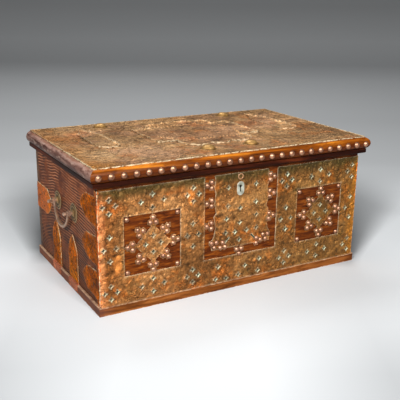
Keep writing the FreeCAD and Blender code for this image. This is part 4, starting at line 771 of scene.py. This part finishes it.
def sheet_piece(name, nodes, face, level, body, slot, material, seed, step=3.2 * MM,
                lift=0.9 * MM, relief=None, thickness=SHEET_THICK, loops=None,
                ragged=0.5 * MM, bead=0.0, edge_glow=0.35, cut_dirt=0.0, hem=0.0):
    """Skins the flat outer face of thin nodes with a fine beaten mesh with pressed holes.

    The cut edge stands up by at least the lift, and by the bead above that. A hem is the width
    of the crumpled band inside the sheet's edge.
    """
    first, second, outward = FACES[face]
    given = loops or [loop for node in nodes for loop in face_loops(node, face, level)]
    rand = random.Random(seed)
    shell = Shell()

    def surface(u, v):
        return beaten(u, v, seed) + (relief(u, v) if relief else 0.0)

    def place(u, v, height):
        return first * u + second * v + outward * (level + height)

    big = [loop for loop in given if area_of(loop) > 0 or -area_of(loop) > SMALL_HOLE]
    small = [loop for loop in given if loop not in big]
    rims = [spread(loop, RIM_REACH) for loop in small]
    borders = [wandering(divided(loop, step), seed, ragged) for loop in big]
    on_border = sum(len(loop) for loop in borders)
    on_loops = on_border + sum(len(loop) for loop in rims)
    inside = Inside(borders + rims)
    gutters = [pair for loop in small for pair in spread(loop, GUTTER_REACH) if inside(*pair)]
    fixed = [pair for loop in borders + rims for pair in loop] + gutters
    extra = gutters + scattered(borders + rims, fixed, step, rand)
    flat, triangles, origins = triangulated(borders + rims, extra)
    source = [origin[0] if origin else len(fixed) for origin in origins]
    border_tree = kdtree.KDTree(on_border)
    for k, pair in enumerate(fixed[:on_border]):
        border_tree.insert((*pair, 0), k)
    border_tree.balance()
    for k, p in enumerate(flat):
        height = surface(p.x, p.y)
        if hem:
            inward = 1 - border_tree.find((p.x, p.y, 0))[2] / hem
            crumpled = 0.55 + 1.3 * noise_at(p.x, p.y, 120, seed + 20)
            height += HEM_TALL * max(0.0, inward) * max(0.0, crumpled)
        # Low places get dirt and painted shade, high crests get painted highlight and wear
        marks = {"dirt": held((DIRT_AND_SHADE_BELOW - height) / DIRT_AND_SHADE_FADE, 0.6),
                 "crest": held((height - CREST_ABOVE) / CREST_FADE)}
        # Cut-edge points carry worn metal with a painted highlight
        if source[k] < on_border:
            height = max(height, lift) + bead
            marks = {"edge": edge_glow}
        # Rim points get a painted highlight
        elif source[k] < on_loops:
            height += RIM_TALL
            marks = {"rim": 0.3}
        # Gutter points get dirt and painted shade
        elif source[k] < on_loops + len(gutters):
            marks = {"dirt": 0.45}
        shell.point(place(p.x, p.y, max(height, LEAST_HEIGHT)), **marks)
    shell.faces += triangles

    # The cut edge goes down to the wood, and a flat back closes the sheet there
    back_flat, back_triangles, back_origins = triangulated(borders)
    foot, back = {}, []
    # The cut walls take the edge's worn metal and painted highlight, or dirt and painted shade by
    # the given share
    cut = {"edge": 1.0 - cut_dirt, "dirt": cut_dirt}
    for p, origin in zip(back_flat, back_origins):
        back.append(shell.point(place(p.x, p.y, -thickness), **cut))
        for number in origin:
            foot[number] = back[-1]
    shell.faces += [tuple(back[k] for k in reversed(triangle)) for triangle in back_triangles]
    top_of = {source[k]: k for k in range(len(flat)) if source[k] < on_border}
    brow = {number: shell.point(shell.verts[k].copy(), **cut) for number, k in top_of.items()}
    start = 0
    for loop in borders:
        count = len(loop)
        for k in range(count):
            a, b = start + k, start + (k + 1) % count
            if all(number in brow and number in foot for number in (a, b)):
                shell.faces.append((brow[b], brow[a], foot[a], foot[b]))
        start += count

    floor_height = -thickness * 0.9
    for loop, rim in zip(small, rims):
        # Each rim gets a painted highlight of its own strength, which its wall takes in part
        bright, deep = rand.uniform(0.35, 1.0), rand.uniform(0.75, 1.0)
        top = [shell.point(place(u, v, max(surface(u, v) + RIM_TALL, LEAST_HEIGHT)), rim=bright)
               for u, v in rim]
        bottom = [place(u, v, floor_height) for u, v in spread(loop, -FLOOR_INSET)]
        wall = [shell.point(spot, rim=bright * 0.8, hollow=0.2) for spot in bottom]
        floor = [shell.point(spot, hollow=deep) for spot in bottom]
        count = len(top)
        for k in range(count):
            m = (k + 1) % count
            shell.faces.append((top[m], top[k], wall[k], wall[m]))
        shell.faces.append(tuple(floor))
    return shell.piece(name, material, body, nodes)


def corner_fold(side, sign, low, high):
    """The sheet turns the corner in a soft round, rubbed to bright copper."""
    radius, stand = 2.8 * MM, 0.9 * MM
    row_pitch, dent_depth, crest_full = 2.2 * MM, 0.8 * MM, 0.4 * MM
    middle = Vector((sign * (side_level - radius + stand), -front_level + radius - stand))
    outer = [(sign * (side_level + 0.3 * MM), -front_level + 7 * MM)]
    for k in range(9):
        turn = math.pi / 2 * k / 8
        outer.append((middle.x + sign * radius * math.cos(turn),
                      middle.y - radius * math.sin(turn)))
    outer.append((sign * (side_level - 3.4 * MM), -front_level - 0.3 * MM))
    rows = int((high - low) / row_pitch)
    shell = Shell()
    count = 2 * len(outer)
    for row in range(rows + 1):
        up = low + (high - low) * row / rows
        line = []
        for k, (across, along) in enumerate(outer):
            free = 0.3 if k in (0, len(outer) - 1) else 1.0
            dent = dent_depth * free * (noise_at(up, k * 0.004, 70, sign)
                                        + 0.8 * noise_at(up, k * 0.006, 170, sign + 5))
            out = Vector((across - middle.x, along - middle.y)).normalized()
            line.append((Vector((across, along)) + out * dent, out, dent))
        # Where the fold bulges out, the crest mask gives it painted highlight and wear
        for spot, out, dent in line:
            shell.point(Vector((*spot, up)), crest=held(dent / crest_full))
        for spot, out, dent in reversed(line):
            shell.point(Vector((*(spot - out * SHEET_THICK), up)))
    for row in range(rows):
        for k in range(count):
            a, b = row * count + k, row * count + (k + 1) % count
            face = (a, b, b + count, a + count)
            shell.faces.append(face if sign < 0 else tuple(reversed(face)))
    shell.faces.append(tuple(range(count)))
    shell.faces.append(tuple(range(rows * count, (rows + 1) * count)))
    fold = shell.piece(side + "_corner_fold", "corner_copper", "chest")
    work = bmesh.new()
    work.from_mesh(fold.data)
    bmesh.ops.recalc_face_normals(work, faces=list(work.faces))
    work.to_mesh(fold.data)
    work.free()


def dress_front():
    sheet_piece("beaten_front_sheet", ["front_sheet"], FRONT, front_level, "chest",
                "front_brass", "front_brass", 1, relief=folds(FRONT_CREASES), edge_glow=0.2)
    for side, sign in SIDE_SIGNS:
        corner_fold(side, sign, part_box("left_plinth")[1][2] + 0.3 * MM,
                    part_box("front_sheet")[1][2])


def dress_windows():
    """The plates in the front sheet's windows; the lock's plate is creased like the sheet."""
    for k, node in enumerate(("left_star_plate", "right_star_plate", "lock_plate",
                              "lock_panel_trefoils")):
        lock = node == "lock_plate"
        sheet_piece("beaten_" + node, [node], FRONT, front_level, "chest", "front_brass",
                    "front_brass", 10 + k, step=2.6 * MM, lift=0.6 * MM,
                    relief=folds(FRONT_CREASES) if lock else None,
                    edge_glow=0.22 if lock else 0.12, cut_dirt=0.0 if lock else 0.5)


def dress_end(side, face):
    """Straps are skinned on their outer face alone, since they keep their CAD shape under it."""
    form = {"lift": 0.4 * MM, "edge_glow": 0.15}
    leaves = face_loops("front_sheet", face, side_level)
    sheet_piece(side + "_folded_leaves", [], face, side_level, "chest", "front_brass",
                "end_copper", 2, loops=leaves, ragged=0.9 * MM, **form)
    node = side + "_rear_corner_plate"
    sheet_piece("beaten_" + node, [node], face, side_level, "chest", "end_copper",
                "end_copper", 30, ragged=0.9 * MM, **form)
    for k, node in enumerate((side + "_front_strap", side + "_rear_strap")):
        shape = face_loops(node, face, side_level)
        sheet_piece("beaten_" + node, [], face, side_level + 0.1 * MM, "chest", "end_copper",
                    "end_copper", 31 + k, loops=shape, ragged=0.7 * MM, thickness=0.1 * MM,
                    **form)


def beaded(rows, pitch=8 * MM, radius=3.5 * MM, tall=2.0 * MM):
    """Rows of punched beads; a row is its two ends, as places across and along the lid."""
    def height(u, v):
        total = 0.0
        for a, b, c, d in rows:
            run = Vector((c - a, d - b))
            length = run.length
            share = ((u - a) * run.x + (v - b) * run.y) / length
            off = ((u - a) * run.y - (v - b) * run.x) / length
            if -radius < share < length + radius and abs(off) < radius:
                near = min(length, max(0.0, round(share / pitch) * pitch))
                away = ((share - near) ** 2 + off ** 2) / radius ** 2
                total = max(total, tall * (1 - away))
        return total
    return height


# Rows of beads inside the edge of the centre overlay
CENTRE_BEADS = [(-0.06, -0.058, 0.075, -0.058), (0.08, -0.052, 0.1, 0.005),
                (-0.09, 0.0, -0.068, -0.05), (-0.055, 0.088, 0.07, 0.088),
                (0.098, 0.03, 0.08, 0.08)]


def dress_lid():
    sheet_piece("beaten_lid_sheet", ["lid_sheet"], UP, lid_level, "lid", "lid_brass",
                "lid_brass", 20, step=4 * MM, relief=folds(LID_CREASES), bead=0.6 * MM,
                edge_glow=0.9, ragged=0.9 * MM)
    for k, node in enumerate(("lid_centre_overlay", "lid_left_overlay", "lid_right_overlay")):
        centre = node == "lid_centre_overlay"
        sheet_piece("beaten_" + node, [node], UP, overlay_level, "lid", "lid_brass",
                    "lid_brass", 21 + k, step=(2.3 if centre else 3.0) * MM, lift=1.0 * MM,
                    relief=beaded(CENTRE_BEADS) if centre else None, ragged=1.3 * MM,
                    bead=1.1 * MM, edge_glow=0.8, cut_dirt=0.15,
                    hem=(11 if centre else 6) * MM)


dress_front()
dress_end("left", LEFT)
dress_end("right", RIGHT)
dress_windows()
dress_lid()


# Domed nails and bosses: each stands where the node's own dome stands


def islands(node):
    """Lowest corner, highest corner and middle of each separate solid in a node."""
    mesh = NODES[node].data
    parent = list(range(len(mesh.vertices)))

    def root(k):
        while parent[k] != k:
            parent[k] = parent[parent[k]]
            k = parent[k]
        return k

    spots = {}
    for vertex in mesh.vertices:
        key = tuple(round(c * 1e6) for c in vertex.co)
        if key in spots:
            parent[root(vertex.index)] = root(spots[key])
        else:
            spots[key] = vertex.index
    for edge in mesh.edges:
        parent[root(edge.vertices[0])] = root(edge.vertices[1])
    groups = {}
    for vertex in mesh.vertices:
        groups.setdefault(root(vertex.index), []).append(vertex.co)
    boxes = []
    for corners in groups.values():
        boxes.append((Vector([min(c[k] for c in corners) for k in range(3)]),
                      Vector([max(c[k] for c in corners) for k in range(3)]),
                      sum(corners, Vector()) / len(corners)))
    return boxes


# Profiles of round pieces: shares of the radius and the height, and how dark dirt and painted shade
# make them
DOME_PROFILE = ((0.99, 0.0, 0.9), (1.02, 0.08, 0.9), (0.98, 0.2, 0.55), (0.9, 0.42, 0.15),
                (0.76, 0.66, 0.0), (0.56, 0.86, 0.0), (0.3, 0.97, 0.0), (0.12, 0.99, 0.0))
BOSS_PROFILE = ((1.1, 0.0, 0.8), (1.12, 0.05, 0.7), (1.08, 0.1, 0.5), (0.94, 0.2, 0.75),
                (0.9, 0.26, 0.5), (0.83, 0.5, 0.1), (0.7, 0.74, 0.0), (0.47, 0.91, 0.0),
                (0.22, 0.98, 0.0), (0.08, 0.99, 0.0))
ROSE_PROFILE = ((0.985, 0.0, 0.9), (0.985, 0.2, 0.6), (0.95, 0.34, 0.1), (0.86, 0.36, 0.2),
                (0.81, 0.2, 0.9), (0.77, 0.2, 0.9), (0.72, 0.44, 0.2), (0.66, 0.5, 0.0),
                (0.58, 0.42, 0.5), (0.5, 0.3, 0.8), (0.42, 0.36, 0.5), (0.36, 0.72, 0.2),
                (0.28, 0.95, 0.0), (0.2, 0.99, 0.0))
RIVET_PROFILE = ((1.0, 0.0, 0.5), (0.98, 0.3, 0.2), (0.8, 0.75, 0.0), (0.45, 0.97, 0.0))


def dome(shell, base, outward, radius, height, rand, sides=18, profile=DOME_PROFILE, rough=0.05,
         lean=0.06):
    """A hammered round head, a little uneven, standing on a base point."""
    tilt = Vector((rand.uniform(-1, 1), rand.uniform(-1, 1), rand.uniform(-1, 1))) * lean
    outward = (outward + tilt).normalized()
    side = outward.orthogonal().normalized()
    other = outward.cross(side)
    seed = rand.uniform(0, 50)
    rings = []
    for radius_share, height_share, dirt in profile:
        ring = []
        for k in range(sides):
            turn = 2 * math.pi * k / sides
            x, y = math.cos(turn), math.sin(turn)
            reach = radius * radius_share * (1 + rough * noise.noise(Vector((x, y, seed))))
            wide = 2 * radius_share
            dent = rough * noise.noise(Vector((x * wide, y * wide, seed + 9)))
            rise = height * height_share * (1 + dent)
            place = base + side * (reach * x) + other * (reach * y) + outward * rise
            ring.append(shell.point(place, dirt=dirt))
        rings.append(ring)
    for low, high in zip(rings, rings[1:]):
        for k in range(sides):
            m = (k + 1) % sides
            shell.faces.append((low[k], low[m], high[m], high[k]))
    crown = shell.point(base + outward * height * profile[-1][1])
    for k in range(sides):
        shell.faces.append((rings[-1][k], rings[-1][(k + 1) % sides], crown))
    shell.faces.append(tuple(reversed(rings[0])))


def round_heads(name, node, face, body, slot, material, seed, uneven=0.06, **form):
    """Round heads of a node's solids, made anew; each stays within its solid's height."""
    outward = FACES[face][2]
    rand = random.Random(seed)
    shell = Shell()
    axis = max(range(3), key=lambda k: abs(outward[k]))
    for low, high, _ in islands(node):
        middle = (low + high) / 2
        middle[axis] = low[axis] if outward[axis] > 0 else high[axis]
        across = max(high[k] - low[k] for k in range(3) if k != axis)
        radius = across / 2 * rand.uniform(1 - uneven, 1)
        height = (high[axis] - low[axis]) * rand.uniform(0.97 - uneven, 0.97)
        dome(shell, middle, outward, radius, height, rand, **form)
    shell.piece(name, material, body, [node])


def lid_edge_nails():
    """Large heads on the nosing's round front, each square to the wood under it."""
    sunk, tall = 0.4 * MM, 5.4 * MM
    shell = Shell()
    rand = random.Random(60)
    nosing_low, nosing_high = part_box("front_nosing")
    bulge = (nosing_high[2] - nosing_low[2]) / 2
    middle = Vector((0, nosing_low[1] + bulge, (nosing_low[2] + nosing_high[2]) / 2))
    for low, high, centre in islands("lid_edge_nails"):
        outward = Vector((0, centre.y - middle.y, centre.z - middle.z)).normalized()
        base = middle + outward * bulge
        base.x = (low.x + high.x) / 2
        radius = (high.x - low.x) / 2 * rand.uniform(0.93, 1.0)
        dome(shell, base - outward * sunk, outward, radius, tall * rand.uniform(0.9, 1.0), rand,
             sides=20)
    shell.piece("domed_lid_edge_nails", "nail_copper", "lid", ["lid_edge_nails"])


def rivets(name, places, outward, body, radius=3.2 * MM, tall=1.4 * MM):
    rand = random.Random(len(name))
    shell = Shell()
    for place in places:
        dome(shell, Vector(place), outward, radius, tall, rand, sides=14, profile=RIVET_PROFILE)
    shell.piece(name, "iron", body)


def hinge_rivets(side):
    """Five rivets in each leaf and strap: one near the pin and two pairs beyond it."""
    pattern = ((0, 0), (-7, 1), (7, 1), (-7, 2), (7, 2))
    leaf_rises, strap_runs = (10, 30, 56), (10, 34, 66)
    low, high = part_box(side + "_hinge_leaf")
    middle = (low[0] + high[0]) / 2
    places = [(middle + shift * MM, low[1] + HINGE_LEAF_THICK, low[2] + leaf_rises[row] * MM)
              for shift, row in pattern]
    rivets(side + "_leaf_rivets", places, Vector((0, 1, 0)), "chest")
    low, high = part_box(side + "_hinge_strap")
    places = [(middle + shift * MM, low[1] + strap_runs[row] * MM, high[2] - HINGE_LEAF_THICK)
              for shift, row in pattern]
    rivets(side + "_strap_rivets", places, Vector((0, 0, -1)), "lid")


def lock_rivets():
    low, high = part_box("lock_case")
    inset, top_inset = 7 * MM, 12 * MM
    places = [(x, high[1], z) for x in (low[0] + inset, high[0] - inset)
              for z in (low[2] + inset, high[2] - top_inset)]
    rivets("lock_case_rivets", places, Vector((0, 1, 0)), "chest")


for k, node_name in enumerate(("left_panel_nails", "right_panel_nails", "lock_panel_nails")):
    round_heads("domed_" + node_name, node_name, FRONT, "chest", "nail_copper", "nail_copper",
                40 + k)
for k, node_name in enumerate(("front_bosses", "rear_bosses")):
    round_heads("domed_" + node_name, node_name, UP, "lid", "boss_brass", "boss_brass", 50 + k,
                sides=32, profile=BOSS_PROFILE, uneven=0.02, lean=0.02)
for side_name, side_face in (("left", LEFT), ("right", RIGHT)):
    node_name = side_name + "_handle_roses"
    round_heads("turned_" + node_name, node_name, side_face, "chest", "handle_brass",
                "rose_brass", 55, sides=40, profile=ROSE_PROFILE, uneven=0.0, rough=0.02,
                lean=0.0)
for side_name, _ in SIDE_SIGNS:
    hinge_rivets(side_name)
lock_rivets()
lid_edge_nails()


# Key plate and ring


def rounded_plate(name, node, material, bevel=0.5 * MM):
    """A plate on the front with its cut edges rounded, from the outline of its outer face."""
    first, second, outward = FACES[FRONT]
    low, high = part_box(node)
    level = -low[1]
    thickness = high[1] - low[1]
    work = bmesh.new()
    loops = [divided(loop, 1.2 * MM) for loop in face_loops(node, FRONT, level)]
    flat, triangles, _ = triangulated(loops)
    corners = [work.verts.new(first * p.x + second * p.y + outward * level) for p in flat]
    for triangle in triangles:
        work.faces.new([corners[k] for k in triangle])
    loose = [v for v in work.verts if not v.link_faces]
    bmesh.ops.delete(work, geom=loose, context="VERTS")
    region = bmesh.ops.extrude_face_region(work, geom=list(work.faces))
    moved = [g for g in region["geom"] if isinstance(g, bmesh.types.BMVert)]
    bmesh.ops.translate(work, verts=moved, vec=-outward * thickness)
    bmesh.ops.recalc_face_normals(work, faces=list(work.faces))
    bmesh.ops.dissolve_limit(work, angle_limit=0.01, verts=list(work.verts),
                             edges=list(work.edges))
    rim = [edge for edge in work.edges if len(edge.link_faces) == 2
           and edge.calc_face_angle(0) > 1.2
           and all(abs(v.co.dot(outward) - level) < 0.01 * MM for v in edge.verts)]
    bmesh.ops.bevel(work, geom=rim, offset=bevel, segments=3, affect="EDGES", profile=0.6)
    mesh = bpy.data.meshes.new(name)
    work.to_mesh(mesh)
    work.free()
    dressed(name, mesh, material, "chest", [node])
    mesh.set_sharp_from_angle(angle=0.9)


rounded_plate("rounded_escutcheon", "keyhole_escutcheon", "escutcheon_metal")
rounded_plate("rounded_plate_ring", "lock_plate_ring", "ring_copper")


# Studio: pale floor that curves up into a backdrop, soft lights and the camera

# The way that the camera looks, turned from the Y axis
HEADING = math.radians(-29.5)

# Tone of the paper by metres behind the chest's middle: along the floor, then up the wall.
# It is darker under the lamps, which stand about 2 m before the chest
PAPER_TONES = [(-6.0, 0.5), (-4.0, 0.25), (-2.7, 0.1), (-1.6, 0.11), (-0.95, 0.3),
               (-0.558, 0.62), (-0.455, 0.67), (-0.311, 0.715), (-0.13, 0.64), (0.109, 0.61),
               (0.437, 0.635), (0.897, 0.49), (1.669, 0.53), (3.05, 0.8), (4.946, 0.87),
               (5.887, 0.63)]
PAPER_TINT = (0.97, 1.0, 1.02)
# What the eye sees beyond the lamps, where the paper ends, and what the chest sees there
FAR_GREY = 0.2
DIM_GREY = 0.08

# The sweep in metres: half its width, its near and far ends, its curve's radius and its height
SWEEP_HALF_WIDTH, SWEEP_NEAR, SWEEP_FAR = 30.0, -30.0, 4.0
SWEEP_RADIUS, SWEEP_HEIGHT = 3.0, 12.0
SWEEP_STEPS = 16

# Each light: name, place, what it points at, its two sizes and its watts
LIGHTS = [("left_softbox", (-2.0, -1.75, 1.9), (0, 0, 0.15), (0.6, 0.6), 92),
          ("front_softbox", (-0.1, -2.55, 1.8), (0, 0, 0.15), (0.6, 0.6), 68),
          ("top_softbox", (0.2, 1.3, 2.4), (0, 0, 0.1), (1.8, 1.0), 28)]

# The camera as fitted to the photograph's corners of the carcass
CAMERA_PLACE = (-0.7218, -1.2973, 0.5949)
CAMERA_TARGET = (0.00683, -0.01019, 0.13574)
CAMERA_ROLL = math.radians(0.647)
CAMERA_LENS, CAMERA_SENSOR = 62.79, 36


def stage_material():
    """Paper that darkens away from the chest; other surfaces see it a plain grey."""
    shade = Shade("studio_paper")
    x, y = shade.axis("X"), shade.axis("Y")
    cosine, sine = math.cos(HEADING), math.sin(HEADING)
    behind = shade.maths("ADD", shade.times(x, -sine), shade.times(y, cosine))
    beside = shade.away(shade.maths("ADD", shade.times(x, cosine), shade.times(y, sine)), 0.0)
    first, last = PAPER_TONES[0][0], PAPER_TONES[-1][0]
    stops = [((way - first) / (last - first), tuple(tone * tint for tint in PAPER_TINT))
             for way, tone in PAPER_TONES]
    way = shade.maths("ADD", behind, shade.axis("Z"))
    tone = shade.ramp(shade.between(way, first, last), stops)

    # Painted shade: the near floor is darker at both sides, and a painted shadow of the chest
    # darkens the paper behind it
    edge = shade.times(shade.between(beside, 0.12, 0.32), shade.between(behind, -0.08, -0.5))
    shadow_half = shade.plus(behind, 0.237, 0.352)
    soft = shade.maths("MAXIMUM", shade.plus(behind, 0.24, 0.03), 0.03)
    past = shade.maths("DIVIDE", shade.maths("SUBTRACT", beside, shadow_half), soft)
    shadow = shade.between(past, 1.0, -0.1)
    near = shade.times(shade.between(behind, -0.06, 0.04), shade.between(behind, 0.82, 0.15))
    dim = shade.times(shade.plus(edge, -0.32, 1.0),
                      shade.plus(shade.times(shadow, near), -0.8, 1.0))
    eye = shade.add("ShaderNodeLightPath").outputs["Is Camera Ray"]
    seen = shade.mix(1.0, tone, dim, "MULTIPLY")
    shade.set("Base Color", shade.mix(eye, (0.35, 0.35, 0.35), seen))
    shade.set("Roughness", 0.95)
    shade.set("Specular IOR Level", 0.0)
    shade.set("Emission Color", (FAR_GREY, FAR_GREY, FAR_GREY, 1))
    shade.set("Emission Strength", shade.times(eye, shade.between(way, -2.5, -8.0)))
    return shade.material


def sweep():
    """A floor whose far edge curves up into a wall."""
    line = [(SWEEP_NEAR, 0.0), (SWEEP_FAR, 0.0)]
    for k in range(1, SWEEP_STEPS + 1):
        turn = math.pi / 2 * k / SWEEP_STEPS
        line.append((SWEEP_FAR + SWEEP_RADIUS * math.sin(turn),
                     SWEEP_RADIUS * (1 - math.cos(turn))))
    line.append((SWEEP_FAR + SWEEP_RADIUS, SWEEP_HEIGHT))
    verts, faces = [], []
    turned = Matrix.Rotation(HEADING, 3, "Z")
    for along, up in line:
        for across in (-SWEEP_HALF_WIDTH, SWEEP_HALF_WIDTH):
            verts.append(turned @ Vector((across, along, up)))
    for k in range(len(line) - 1):
        faces.append((2 * k, 2 * k + 1, 2 * k + 3, 2 * k + 2))
    mesh = bpy.data.meshes.new("studio_sweep")
    mesh.from_pydata([tuple(v) for v in verts], [], faces)
    mesh.polygons.foreach_set("use_smooth", [True] * len(mesh.polygons))
    mesh.materials.append(stage_material())
    obj = bpy.data.objects.new("studio_sweep", mesh)
    bpy.context.scene.collection.objects.link(obj)


def area_light(name, place, target, size, power):
    light = bpy.data.lights.new(name, "AREA")
    light.shape = "RECTANGLE"
    light.size, light.size_y = size
    light.energy = power
    obj = bpy.data.objects.new(name, light)
    obj.location = place
    obj.rotation_euler = (Vector(target) - Vector(place)).to_track_quat("-Z", "Y").to_euler()
    bpy.context.scene.collection.objects.link(obj)


def studio_world():
    """A dim grey all round, which the eye alone sees lighter."""
    world = bpy.data.worlds.new("studio_world")
    bpy.context.scene.world = world
    world.use_nodes = True
    nodes, links = world.node_tree.nodes, world.node_tree.links
    seen = nodes.new("ShaderNodeMapRange")
    seen.inputs["To Min"].default_value = DIM_GREY
    seen.inputs["To Max"].default_value = FAR_GREY
    links.new(nodes.new("ShaderNodeLightPath").outputs["Is Camera Ray"], seen.inputs["Value"])
    background = nodes["Background"]
    background.inputs["Color"].default_value = (1, 1, 1, 1)
    links.new(seen.outputs[0], background.inputs["Strength"])


def photo_camera():
    data = bpy.data.cameras.new("photo_camera")
    data.lens = CAMERA_LENS
    data.sensor_width = CAMERA_SENSOR
    data.clip_end = 100
    camera = bpy.data.objects.new("photo_camera", data)
    camera.location = CAMERA_PLACE
    look = Vector(CAMERA_TARGET) - camera.location
    turn = look.to_track_quat("-Z", "Y").to_matrix() @ Matrix.Rotation(CAMERA_ROLL, 3, "Z")
    camera.rotation_euler = turn.to_euler()
    bpy.context.scene.collection.objects.link(camera)
    bpy.context.scene.camera = camera


sweep()
for light_facts in LIGHTS:
    area_light(*light_facts)
studio_world()
photo_camera()
bpy.context.scene.view_settings.view_transform = "Standard"
